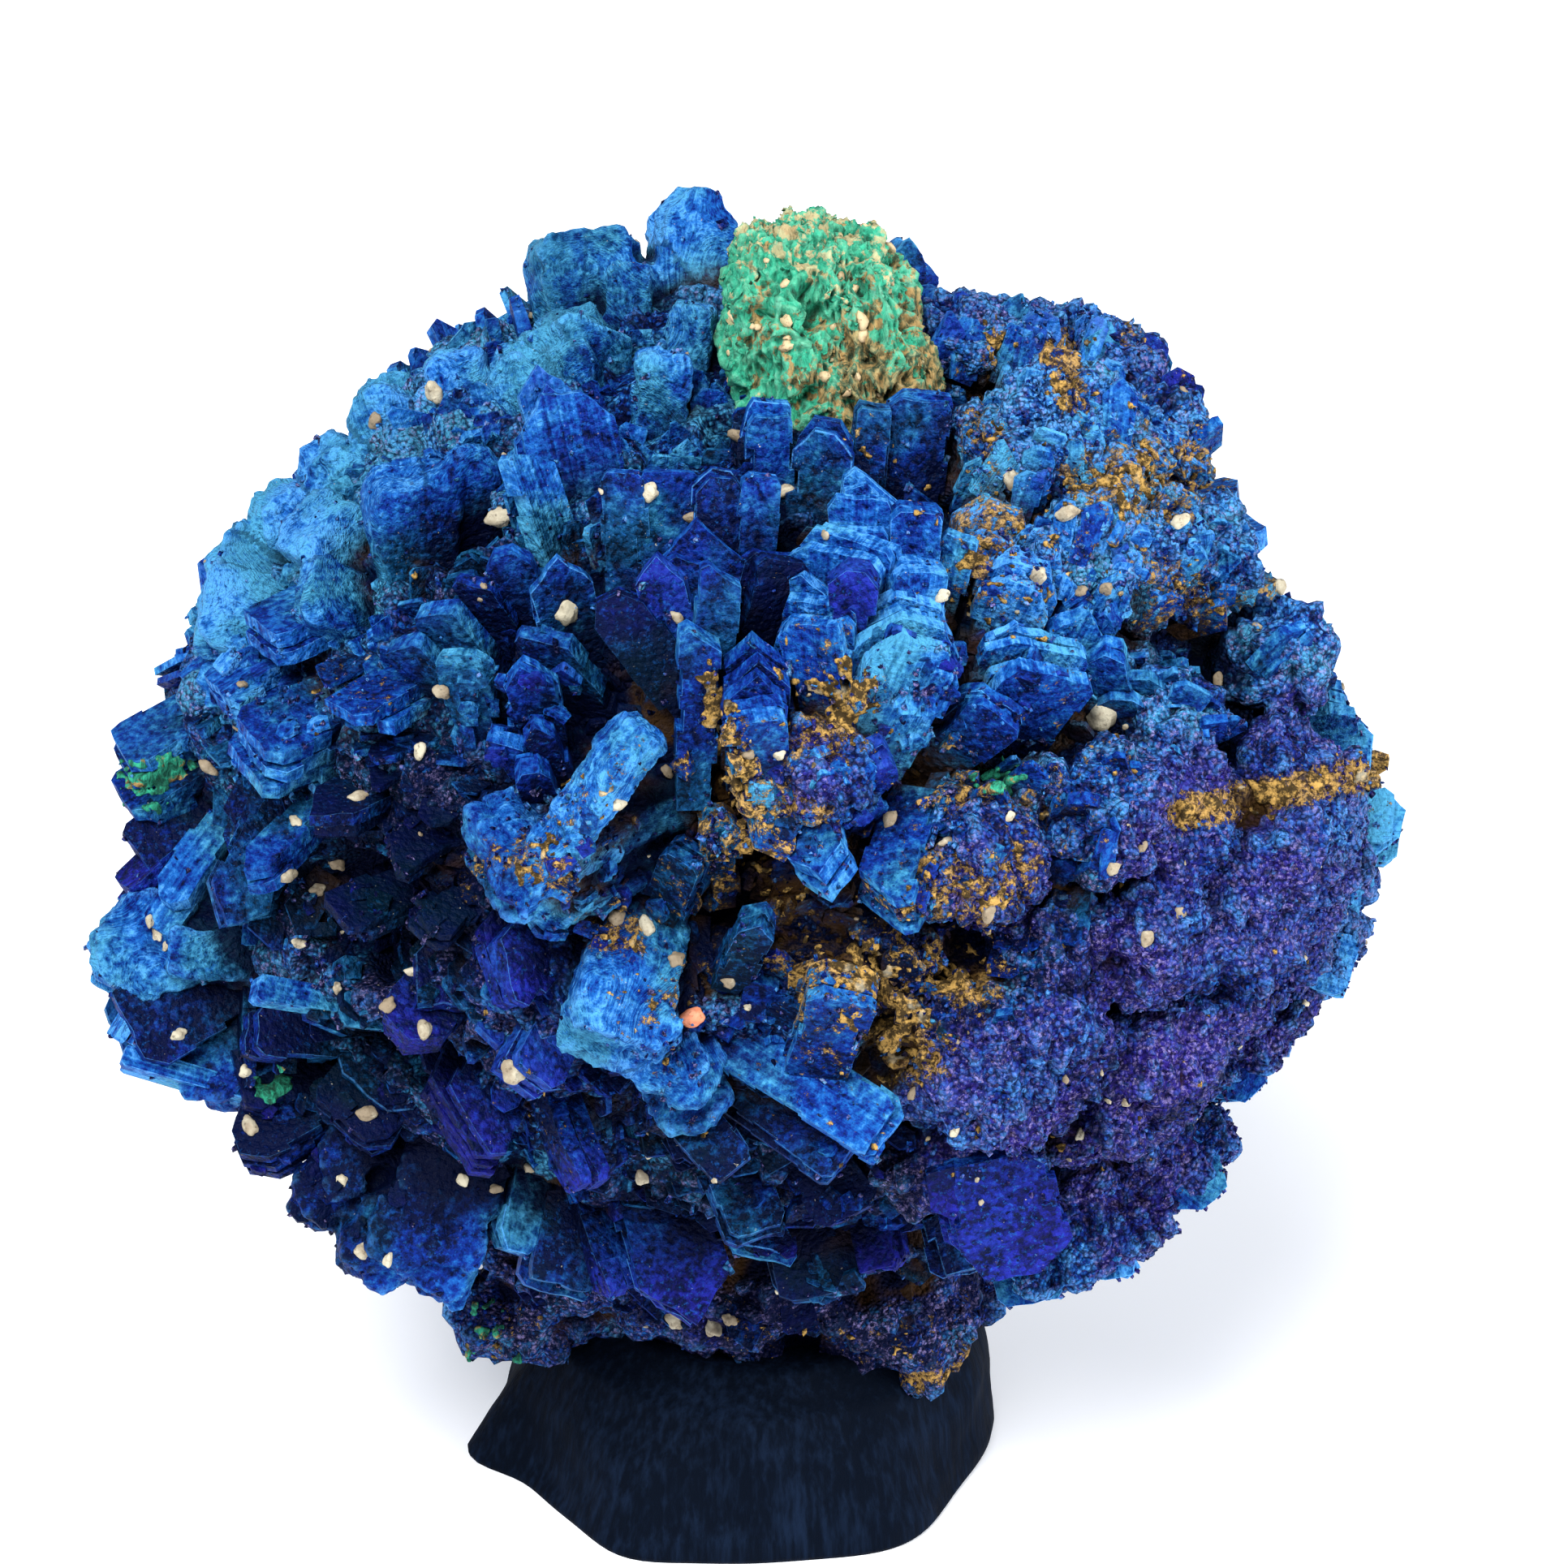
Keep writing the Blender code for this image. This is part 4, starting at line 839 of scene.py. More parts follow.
def placed(name, data):
    """An object of this data in the scene."""
    made = bpy.data.objects.new(name, data)
    bpy.context.scene.collection.objects.link(made)
    return made


GROUND = Ground()
BODY = "rosette_body"
SWELLINGS_SKIN = "drusy_swellings"
SKINS = (BODY, SWELLINGS_SKIN)


def eye():
    return ROSETTE_MIDDLE + EYE_AXIS[0] * RIGHT + EYE_AXIS[1] * RISE + EYE_DISTANCE * TOWARD


def landing(across, up):
    """Where the line of sight through this place of the front view meets the specimen."""
    aim = seen(across, up, 0.0) - eye()
    return GROUND.hit(eye(), aim.normalized())


def finish_piece(
    name, mesh, finish, smooth=False, ground=False, stands_for=ROSETTE
):
    """Makes a mesh in millimetres a piece of the specimen, riding on its one body."""
    if ground:
        GROUND.lay(name, mesh)
    bmesh.ops.scale(mesh, verts=mesh.verts, vec=(MM, MM, MM))
    for face in mesh.faces:
        face.smooth = smooth
    data = closed(mesh, name)
    data.materials.append(finish)
    piece = placed(name, data)
    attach(piece, "root")
    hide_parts(stands_for)


def add_looks(mesh, domain):
    """The layers that the azurite finish reads, on a mesh's faces or points."""
    layers = getattr(mesh, domain).layers
    return layers.float_vector.new("shape"), layers.float_vector.new("finish")


def add_ways(mesh):
    """The layers for how near each point is to its crystal's tip, and how far it is sideways."""
    return [mesh.verts.layers.float.new(name) for name in ("tipward", "sideways")]


def stepped_side(start, stop, steps, draw):
    """Points from start to stop, in the small steps of a growing crystal."""
    points = []
    side = start[0]
    for i in range(1, steps):
        share = (i + draw.uniform(-0.3, 0.3)) / steps
        back = start[1] + (stop[1] - start[1]) * share
        points.append((side, back))
        side = start[0] + (stop[0] - start[0]) * share + draw.gauss(0.0, 0.07)
        points.append((side, back + draw.uniform(-0.06, 0.06)))
    return points


def leaf_outline(width, length, end, draw, ragged_by):
    """Points round a leaf, (side, back from the tip), from its left root to its right root."""
    uneven = 0.05 * width
    tips = [
        (s * width + draw.uniform(-uneven, uneven), b * width + draw.uniform(0.0, uneven))
        for s, b in ENDS[end]
    ]
    ragged = [tips[0]]
    for last, point in zip(tips, tips[1:]):
        pieces = int(math.dist(last, point) / ragged_by)
        for i in range(1, pieces):
            share = i / pieces
            ragged.append(tuple(
                a + (b - a) * share + draw.uniform(-0.045, 0.045) for a, b in zip(last, point)
            ))
        ragged.append(point)
    half_root = ROOT_SHARE / 2 * width
    steps = 1 + min(6, int(length / (2.4 * ragged_by))) if width > 0.7 else 2
    left = stepped_side((-half_root, length), ragged[0], steps, draw)
    right = stepped_side(ragged[-1], (half_root, length), steps, draw)
    return [(-half_root, length), *left, *ragged, *right, (half_root, length)]


def leaf(crystal, clay, draw, rim=0.0):
    """A crystal as one leaf: a stepped outline, made thick, with a worn rim if it has one."""
    tip, (side, along, normal), width, length, thickness, look, end = crystal
    tone, violet, side_tone = LOOKS[look]
    mesh = bmesh.new()
    shape, finish = add_looks(mesh, "faces")
    tipward, sideways = add_ways(mesh)
    base = tip - normal * thickness / 2
    outline = leaf_outline(width, length, end, draw, LEAF_STEP if rim > 0.0 else BLADE_STEP)
    broad = mesh.faces.new([mesh.verts.new(base + side * s - along * b) for s, b in outline])
    grown = bmesh.ops.extrude_face_region(mesh, geom=[broad])["geom"]
    lifted = [v for v in grown if isinstance(v, bmesh.types.BMVert)]
    tilt = draw.uniform(0.55, 1.0)
    for vert in lifted:
        near_tip = 1.0 - spread((tip - vert.co).dot(along), 0.0, 0.8 * width)
        vert.co += normal * thickness * (1.0 - (1.0 - tilt) * near_tip)
    mesh.normal_update()
    flat = {f for f in mesh.faces if abs(f.normal.dot(normal)) > 0.8}
    rims = [e for e in mesh.edges if len(flat.intersection(e.link_faces)) == 1]
    worn = set()
    if rim > 0.0:
        worn = set(bmesh.ops.bevel(
            mesh, geom=rims, offset=min(rim, 0.3 * thickness), offset_type="OFFSET", segments=1,
            profile=0.5, affect="EDGES", clamp_overlap=True, material=-1,
        )["faces"])
    bmesh.ops.recalc_face_normals(mesh, faces=mesh.faces)
    if mesh.calc_volume(signed=True) < 0.0:
        bmesh.ops.reverse_faces(mesh, faces=mesh.faces)
    chance = draw.random()
    shift = draw.uniform(-0.09, 0.09) + tone_shift(tip)
    for face in mesh.faces:
        on_side = abs(face.normal.dot(normal)) < 0.5 and face not in worn
        # Bevelled rim faces get the pale rim colour, partly wear and partly painted highlight.
        face[shape] = (1.0 if face in worn else 0.0, 0.0, chance)
        face[finish] = (shift + (side_tone if on_side else tone), violet, clay)
    for vert in mesh.verts:
        tip_share = 1.0 - spread((tip - vert.co).dot(along), 0.0, 2.2 * width)
        vert[tipward] = 0.55 * tip_share + 0.45 * height_share(vert.co)
        vert[sideways] = (vert.co - tip).dot(side) * MM
    return mesh


def add_book(pile, crystal, draw, pitch, rim, strip):
    """A crystal as a book of leaves, split side by side where it is wide."""
    side, along, normal = crystal.axes
    worn = 1.8 if crystal.look == "crust" else 1.0
    blocky = min(1.0, crystal.thickness / crystal.width)
    uneven = worn * (0.3 - 0.22 * blocky)
    leaves = max(1, round(crystal.thickness / (pitch * (1.0 + blocky))))
    strips = max(1, round(crystal.width / strip))
    longest = draw.randrange(leaves)
    for number in range(leaves * strips):
        level = (number // strips + 0.5) / leaves - 0.5
        place = (number % strips + 0.5) / strips - 0.5
        whole = number // strips == longest
        broken = not whole and draw.random() < 0.14
        back = 0.0 if whole else abs(draw.gauss(0.0, uneven)) + (0.5 if broken else 0.0)
        drawn_in = 1.0 - 0.08 * (level + 0.5)
        end = draw.choice(sorted(ENDS)) if broken else crystal.end
        if strips > 1:
            back += FALL_AWAY[end] * crystal.width * abs(2.0 * place) ** 1.5
            back += draw.uniform(0.0, 0.3)
            end = draw.choice(("flat", "flat", "round", "slant"))
        turn = Matrix.Rotation(math.radians(draw.gauss(0.0, 4.0 * uneven)), 3, normal)
        tip = crystal.tip + normal * level * crystal.thickness - along * back
        sway = 0.0 if whole else draw.gauss(0.0, 0.16 * uneven) * crystal.width
        tip += side * (place * crystal.width * drawn_in + sway)
        one = Crystal(
            tip, (turn @ side, turn @ along, normal),
            crystal.width / strips * drawn_in * draw.uniform(1.0 - 0.5 * uneven, 1.02),
            crystal.length - back, crystal.thickness / leaves * draw.uniform(0.9, 1.03),
            crystal.look, end,
        )
        pile.add(leaf(one, clay_share(tip - along * 0.4 * crystal.width), draw, rim))


def grown_books(crystals, seed, pitch, sizes):
    """The books of leaves of a group of crystals, in one mesh."""
    draw = random.Random(seed)
    pile = Pile()
    for crystal in crystals:
        add_book(pile, crystal, draw, in_mm(pitch), in_mm(sizes.rim), in_mm(sizes.strip))
    return pile.close()


def add_lump(mesh, middle, half, seed, axes):
    """A lumpy ball, which remeshing joins to the rest."""
    lump = bmesh.ops.create_icosphere(mesh, subdivisions=4, radius=1.0)["verts"]
    for vert in lump:
        swell = 1.0 + 0.3 * bumps(vert.co, 1.7, seed)
        place = sum((vert.co[i] * half[i] * axes[i] for i in range(3)), Vector())
        vert.co = middle + place * swell


def sink_hollows(verts):
    """Pushes the core's points down to the floor of each hollow."""
    for across, up, *half in HOLLOWS:
        middle = seen(across, up, CORE_SHARE * skin_depth(across, up))
        axes = skin_axes(across, up)
        for vert in verts:
            away = vert.co - middle
            x, y, z = (away.dot(axis) / size for axis, size in zip(axes, half))
            inside = 1.0 - x * x - y * y
            if inside > 0.0 and z > -1.0:
                floor = -math.sqrt(inside)
                vert.co += axes[2] * min(0.0, floor - z) * half[2]


def body_mesh(grain):
    """The rosette's body: core and stub, joined in one skin."""
    mesh = bmesh.new()
    core = bmesh.ops.create_icosphere(mesh, subdivisions=6, radius=1.0)["verts"]
    for vert in core:
        ray = vert.co.copy()
        reach = CORE_SHARE + CORE_RIPPLE / SKIN_HALF[2] * noise.noise(ray * 3.0)
        parts = zip(ray, SKIN_HALF, (RIGHT, RISE, TOWARD))
        way = sum((r * half * axis for r, half, axis in parts), Vector())
        vert.co = ROSETTE_MIDDLE + way * reach
    sink_hollows(core)
    for number, (middle, half) in enumerate(STUB_LUMPS):
        add_lump(mesh, Vector(middle), half, STUB_SEED + number, Matrix.Identity(3))
    return remeshed(mesh, grain)


def swelling_mesh(grain):
    """The drusy swellings and the crystals marked rough, joined in one skin."""
    mesh = bmesh.new()
    for number, (across, up, sunk, *half) in enumerate(SWELLINGS):
        middle = seen(across, up, skin_depth(across, up) - sunk)
        add_lump(mesh, middle, half, number, skin_axes(across, up))
    draw = random.Random(SEEDS["blocks"])
    pile = Pile()
    for crystal in front_crystals(RIGHT_SIDE):
        if crystal.look == "rough":
            pile.add(leaf(crystal, 0.0, draw, 0.4))
    pile.mesh.to_mesh(pile.scratch)
    mesh.from_mesh(pile.scratch)
    pile.close().free()
    return remeshed(mesh, grain)


def weather(mesh, crystals):
    """Furrows a skin along its crystals, and pits and chips it."""
    mesh.normal_update()
    near = nearest_crystals(crystals)
    for vert in mesh.verts:
        place = vert.co.copy()
        crystal = crystals[near.find(place)[1]]
        side, along, normal = crystal.axes
        wear = 1.0 if crystal.look == "crust" else 0.55
        lie = Vector((place.dot(side) * 3.4, place.dot(normal) * 3.4, place.dot(along) * 0.5))
        broad = abs(vert.normal.dot(normal)) if crystal.look != "crust" else 0.3
        lumps, grains = bumps(place, 1.3), bumps(place, 4.4)
        chips = min(0.0, bumps(place, 1.1, 9.0) + 0.3)
        relief = 0.08 * ridges(lie) * (1.0 - broad) + 0.08 * lumps + 0.07 * grains + 0.4 * chips
        vert.co = place + vert.normal * (wear * relief - 0.01)


def rows_of(items, name, width, kind=float):
    """What each of a mesh's items holds under this name, as rows of numbers."""
    flat = np.empty(len(items) * width, kind)
    items.foreach_get(name, flat)
    return flat.reshape(-1, width)


def convexity(mesh, reach):
    """How far each point stands out from its neighbours, as a share of reach."""
    data = bpy.data.meshes.new("scratch")
    mesh.to_mesh(data)
    count = len(data.vertices)
    places = rows_of(data.vertices, "co", 3)
    normals = rows_of(data.vertex_normals, "vector", 3)
    one, other = rows_of(data.edges, "vertices", 2, np.int64).T
    bpy.data.meshes.remove(data)
    one, other = np.concatenate([one, other]), np.concatenate([other, one])
    degree = np.maximum(1, np.bincount(one, minlength=count))

    def around(values):
        return np.bincount(one, weights=values[other], minlength=count) / degree

    middle = np.stack([around(places[:, axis]) for axis in range(3)], axis=1)
    out = ((places - middle) * normals).sum(axis=1) / reach
    for _ in range(2):
        out = 0.5 * out + 0.5 * around(out)
    return out


def ways_out(places):
    """Each place's direction from the middle, and how far out it is as a share of the skin."""
    axes = np.array([RIGHT, RISE, TOWARD])
    local = (places - np.array(ROSETTE_MIDDLE)) @ axes.T / np.array(SKIN_HALF)
    reach = np.linalg.norm(local, axis=1)
    return local / reach[:, None], reach


def corners_round(ways, cells):
    """The eight corners of a grid of directions round each way, and how near each one is."""
    spots = (ways * 0.5 + 0.5) * (cells - 1)
    low = np.clip(spots.astype(int), 0, cells - 2)
    part = spots - low
    for step in np.ndindex(2, 2, 2):
        share = np.prod(np.where(np.array(step) == 1, part, 1.0 - part), axis=1)
        yield tuple((low + step).T), share


def outer_surface(ways, reach, cells, fine=70):
    """How far out the rosette's surface stands on average, in a grid of directions."""
    keys = ((ways + 1.0) * fine).astype(int) @ np.array([1, 4 * fine, 16 * fine * fine])
    _, number = np.unique(keys, return_inverse=True)
    top = np.zeros(number.max() + 1)
    np.maximum.at(top, number, reach)
    outermost = reach >= top[number]
    total, weight = np.zeros((cells,) * 3), np.zeros((cells,) * 3)
    for corner, share in corners_round(ways[outermost], cells):
        np.add.at(total, corner, share * reach[outermost])
        np.add.at(weight, corner, share)
    return total / np.maximum(weight, 1e-9)


def mark_hollows(meshes):
    """Gives every point of these meshes how deep it lies below the surface round it, 0 to 1."""
    places = [rows_of(data.vertices, "co", 3, np.float32) / MM for data in meshes]
    ways, reach = ways_out(np.concatenate(places))
    deep = np.zeros(len(reach))
    for cells, low, high in ((28, 0.05, 0.85), (14, 0.4, 1.9)):
        surface = outer_surface(ways, reach, cells)
        level = sum(surface[corner] * share for corner, share in corners_round(ways, cells))
        below = (level - reach) * SKIN_HALF[1]
        deep = np.maximum(deep, np.clip((below - low) / (high - low), 0.0, 1.0))
    first = 0
    for data in meshes:
        last = first + len(data.vertices)
        layer = data.attributes.new("hollow", "FLOAT", "POINT")
        layer.data.foreach_set("value", deep[first:last].astype(np.float32))
        first = last


def nearest_crystals(crystals):
    near = kdtree.KDTree(len(crystals))
    for number, crystal in enumerate(crystals):
        near.insert(crystal.middle(), number)
    near.balance()
    return near


def remeshed(mesh, grain):
    """The union of a mesh's closed shells, as one skin of even facets."""
    data = closed(mesh, "rough")
    lump = placed("rough", data)
    voxels = lump.modifiers.new("voxels", "REMESH")
    voxels.mode = "VOXEL"
    voxels.voxel_size = grain
    graph = bpy.context.evaluated_depsgraph_get()
    skin = bpy.data.meshes.new_from_object(lump.evaluated_get(graph))
    made = bmesh.new()
    made.from_mesh(skin)
    bpy.data.objects.remove(lump)
    bpy.data.meshes.remove(data)
    bpy.data.meshes.remove(skin)
    return made


def roughen_body(mesh):
    """Breaks the body's skin into small blocks."""
    mesh.normal_update()
    for vert in mesh.verts:
        place = vert.co.copy()
        blocks = noise.cell(place * 1.5 + Vector((0.3, 0.1, 0.7))) - 0.5
        relief = 0.28 * blocks + 0.3 * bumps(place, 1.1) + 0.14 * bumps(place, 3.4)
        vert.co = place + vert.normal * relief


def roughen_swellings(mesh):
    """Raises low lumps and grains on the swellings, between steep furrows."""
    mesh.normal_update()
    for vert in mesh.verts:
        place = vert.co.copy()
        lumps, knobs, grains = bumps(place, 0.9), bumps(place, 2.1, 4.0), bumps(place, 4.6)
        steep = Vector((place.x * 1.9 + place.z * 0.5, place.y * 1.2, place.z * 0.45))
        furrows = min(0.12, abs(noise.noise(steep)) - 0.2)
        vert.co = place + vert.normal * (0.26 * lumps + 0.2 * knobs + 0.14 * grains + 0.7 * furrows)


def mark_skin(mesh, crystals, grain):
    """Gives a skin's points the values that the azurite finish reads."""
    mesh.normal_update()
    stands_out = convexity(mesh, grain)
    shape, finish = add_looks(mesh, "verts")
    tipward, sideways = add_ways(mesh)
    near = nearest_crystals(crystals)
    for vert, out in zip(mesh.verts, stands_out):
        druse = druse_share(vert.co)
        patch = 0.5 + 0.5 * bumps(vert.co, 0.5)
        crystal = crystals[near.find(vert.co)[1]]
        tone, violet, side_tone = LOOKS[crystal.look]
        on_side = 1.0 - spread(abs(vert.normal.dot(crystal.axes[2])), 0.35, 0.75)
        if crystal.look != "rough":
            tone += (side_tone - tone) * on_side
        violet = max(violet * 0.6, druse)
        # How far a point stands out gives its pale rim, partly wear and partly painted highlight;
        # how far it sinks in gives painted shade.
        vert[shape] = (spread(out, 0.10, 0.34), spread(-out, 0.06, 0.3), patch)
        tone += tone_shift(vert.co) + 0.1 * (patch - 0.5) - 0.06 * druse
        vert[finish] = (tone, violet, clay_share(vert.co))
        vert[tipward] = height_share(vert.co)
        vert[sideways] = (vert.co - crystal.tip).dot(crystal.axes[0]) * MM


def turned(axes, angle, draw):
    """The axes, turned a little any way."""
    turn = Matrix.Rotation(math.radians(draw.gauss(0.0, angle)), 3, random_ray(draw))
    return [turn @ axis for axis in axes]


def clear_of_stand(point):
    return point.z > CLEAR_HEIGHT or math.hypot(point.x, point.y) > CLEAR_RADIUS


def add_blades(pile, crystals, count, draw, sizes, facing):
    """Small blades on the body's front or back, lying the way that the crystals round them do."""
    near = nearest_crystals(crystals)
    for _ in range(count):
        found = GROUND.struck(draw, ROSETTE_MIDDLE, ROSETTE_RAY, SKINS)
        if found is None:
            continue
        place, normal, _ = found
        _, number, away = near.find(place)
        crystal = crystals[number]
        if crystal.look == "rough" or away > 6.5 or draw.random() < druse_share(place):
            continue
        if not clear_of_stand(place):
            continue
        side, along, across = turned(crystal.axes, 13.0, draw)
        width = draw.uniform(*sizes)
        on_limb = abs(normal.dot(TOWARD)) < 0.42
        lift = draw.uniform(0.1, 0.6) * width * (0.5 if on_limb else 1.0)
        tip = place + (along + normal).normalized() * lift
        if on_limb and height_share(tip) > 0.22 or facing * front_view(place)[2] < -3.0:
            continue
        look = draw.choice(BLADE_LOOKS)
        if draw.random() < 0.45 and crystal.look != "crust":
            look = crystal.look
        blade = Crystal(
            tip, (side, along, across), width, 1.2 + lift, draw.uniform(0.12, 0.34) * width ** 0.5,
            look, draw.choice(sorted(ENDS)),
        )
        pile.add(leaf(blade, clay_share(place), draw))


def add_chips(pile, crystals, count, draw):
    """Small broken pieces of blades, stuck on the crystals where these are much damaged."""
    near = nearest_crystals(crystals)
    for _ in range(count):
        found = GROUND.struck(draw, ROSETTE_MIDDLE, ROSETTE_RAY)
        if found is None or draw.random() > broken_share(found[0]):
            continue
        place, normal, _ = found
        side, along, across = turned(crystals[near.find(place)[1]].axes, 24.0, draw)
        width = draw.uniform(0.2, 0.62)
        lift = draw.uniform(0.0, 0.3) * width
        chip = Crystal(
            place + (along + normal).normalized() * lift, (side, along, across), width, 0.5 + lift,
            draw.uniform(0.15, 0.4) * width ** 0.5, end=draw.choice(sorted(ENDS)),
            look=draw.choice(CHIP_LOOKS),
        )
        pile.add(leaf(chip, clay_share(place), draw))


def crumb_patterns(name, count, subdivisions, ripple, seed):
    """Pattern meshes for grains or crumbs, each about 1 mm across."""
    patterns = []
    for number in range(count):
        mesh = bmesh.new()
        ball = bmesh.ops.create_icosphere(mesh, subdivisions=subdivisions, radius=0.5)
        for vert in ball["verts"]:
            vert.co *= 1.0 + ripple * bumps(vert.co, 2.2, seed + number)
        patterns.append(pattern_from(mesh, f"{name}_{number}"))
    return patterns


def pattern_from(mesh, name):
    """A pattern mesh, with the layers that its copies' looks go in."""
    add_looks(mesh, "faces")
    mesh.verts.layers.float.new("tipward")
    return closed(mesh, name)


def tablet_pattern(name, seed):
    """A tiny tabular crystal, 1 mm long, with a wedge-shaped end."""
    draw = random.Random(seed)
    mesh = bmesh.new()
    bmesh.ops.create_cube(mesh, size=1.0)
    slim = (draw.uniform(0.7, 1.0), draw.uniform(0.25, 0.5), 1.0)
    bmesh.ops.scale(mesh, vec=slim, verts=mesh.verts)
    for vert in mesh.verts:
        if vert.co.z > 0.0:
            vert.co.x *= draw.uniform(0.35, 0.8)
            vert.co.y *= draw.uniform(0.5, 1.0)
        vert.co.z += draw.uniform(-0.12, 0.12)
    pattern = pattern_from(mesh, name)
    # The tablets' tipward runs from 0.6 at the foot to 1 at the top and their sunk-in value is 0.2:
    # both give each tablet a little painted shade, most at the foot.
    for point, value in zip(pattern.vertices, pattern.attributes["tipward"].data):
        value.value = 0.6 + 0.4 * spread(point.co.z, -0.5, 0.5)
    shapes = [0.0, 0.2, seed / 7.0] * len(pattern.polygons)
    pattern.attributes["shape"].data.foreach_set("vector", shapes)
    return pattern


def standing(place, way, spin, size):
    """A matrix that stands a pattern's z on a way, spun round it, at a size."""
    turn = way.to_track_quat("Z", "Y").to_matrix().to_4x4()
    spun = Matrix.Translation(place) @ turn @ Matrix.Rotation(spin, 4, "Z")
    return spun @ Matrix.Diagonal((*size, 1.0))


def add_sugar(pile, count, draw):
    """Tiny crystals all over the druse, and a few between the blades."""
    patterns = [tablet_pattern(f"tablet_{i}", i) for i in range(6)]
    for _ in range(count):
        found = GROUND.struck(draw, ROSETTE_MIDDLE, ROSETTE_RAY)
        if found is None or not clear_of_stand(found[0]):
            continue
        place, normal, _ = found
        if draw.random() > sugar_share(place):
            continue
        way = (normal + 0.8 * random_ray(draw)).normalized()
        size = draw.uniform(0.12, 0.26) * (1.0 + 0.9 * bumps(place, 0.8))
        slim = (size * 0.8, size * 0.8, size)
        matrix = standing(place - 0.15 * size * normal, way, draw.uniform(*ANY_SPIN), slim)
        tone = draw.uniform(-0.1, 0.85) + tone_shift(place)
        violet = draw.uniform(0.0, 0.3) + 0.7 * druse_share(place)
        look = (tone, violet, 0.6 * clay_share(place))
        pile.add_copy(draw.choice(patterns), matrix, look)
    for pattern in patterns:
        bpy.data.meshes.remove(pattern)


def add_grain(pile, patterns, found, across, draw, look=(0.0, 0.0, 0.0)):
    """A worn grain, half sunk where it lies."""
    place, normal, _ = found
    size = [across * draw.uniform(*share) for share in ((0.8, 1.2), (0.65, 1.0), (0.45, 0.75))]
    matrix = standing(place + normal * 0.04 * across, normal, draw.uniform(*ANY_SPIN), size)
    pile.add_copy(draw.choice(patterns), matrix, look)


def tuft_mesh():
    """The malachite block: a tapered, lumpy box, drawn in all round for its crust."""
    mesh = bmesh.new()
    bmesh.ops.create_cube(mesh, size=2.0)
    bmesh.ops.subdivide_edges(mesh, edges=mesh.edges, cuts=TUFT_CUTS, use_grid_fill=True)
    for vert in mesh.verts:
        x, y, z = vert.co
        round_off = 1.0 - 0.10 * (x * x * y * y + y * y * z * z + z * z * x * x)
        level = (z * round_off + 1.0) / 2
        taper = 1.0 + (TUFT_TOP_SHARE - 1.0) * level
        ripple = 0.42 * bumps(vert.co, 1.9)
        out = Vector((x, y, z)).normalized()
        place = Vector((
            x * round_off * TUFT_HALF[0] * taper + TUFT_LEAN[0] * level,
            y * round_off * TUFT_HALF[1] * taper + TUFT_LEAN[1] * level,
            level * TUFT_HEIGHT,
        ))
        vert.co = TUFT_FOOT + place + out * (ripple - TUFT_DRAWN_IN)
    return mesh


def crust(mesh):
    """Raises a tangled, fibrous crust on the malachite block."""
    mesh.normal_update()
    for vert in mesh.verts:
        place = vert.co.copy()
        bend = Vector([
            0.9 * noise.noise(place * 0.7 + Vector((0.0, 0.0, apart))) for apart in CRUST_BENDS
        ])
        folds = ridges(Vector((place.x * 2.3, place.y * 2.3, place.z * 1.1)) + bend)
        fibres = ridges(Vector((place.x * 6.5, place.y * 6.5, place.z * 2.4)) + 2.0 * bend)
        pits = min(0.0, bumps(place, 1.6) + 0.1)
        vert.co = place + vert.normal * (0.24 * folds + 0.15 * fibres + 0.9 * pits - 0.1)


def mark_crust(mesh, grain):
    """Gives a crust's points its ridges and pits, which the malachite finish reads."""
    mesh.normal_update()
    stands_out = convexity(mesh, grain)
    shape, _ = add_looks(mesh, "verts")
    for vert, out in zip(mesh.verts, stands_out):
        # Ridges give the paler green; pits give painted shade.
        vert[shape] = (spread(out, 0.02, 0.2), spread(-out, 0.02, 0.2), 0.0)


def add_flakes(pile, ground, count, draw):
    """Crumpled flakes and fibres that stand off the malachite crust."""
    middle = TUFT_FOOT + Vector((*TUFT_LEAN, TUFT_HEIGHT)) / 2
    for _ in range(count):
        found = ground.struck(draw, middle, TUFT_RAY)
        if found is None or found[0].z < TUFT_FOOT.z + 0.3:
            continue
        place, normal, _ = found
        flake = bmesh.new()
        verts = bmesh.ops.create_grid(flake, x_segments=3, y_segments=3, size=0.5)["verts"]
        seed = Vector((draw.uniform(0.0, 50.0), 0.0, 0.0))
        for vert in verts:
            vert.co.z += 0.5 * noise.noise(vert.co * 1.8 + seed)
            vert.co.xy *= 1.0 + 0.7 * noise.noise(vert.co * 1.3 - seed)
        bmesh.ops.recalc_face_normals(flake, faces=flake.faces)
        bmesh.ops.solidify(flake, geom=flake.faces, thickness=0.14)
        way = (normal + 0.9 * random_ray(draw)).normalized()
        size = draw.uniform(0.08, 0.2)
        spin = draw.uniform(*ANY_SPIN)
        lay = standing(place, way, spin, (size, size * draw.uniform(0.5, 1.6), size))
        bmesh.ops.transform(flake, matrix=lay, verts=flake.verts)
        pile.add(flake)


def stand_radius(angle, sharpness):
    """The stand's radius at this angle; its corners fade towards the shoulder."""
    radius = STAND_FOOT_RADIUS + 0.12 * math.sin(3 * angle + 0.6)
    for corner, out, half in STAND_CORNERS:
        away = (math.degrees(angle) - corner + 180.0) % 360.0 - 180.0
        radius += sharpness * out * math.exp(-((away / half) ** 2))
    return radius


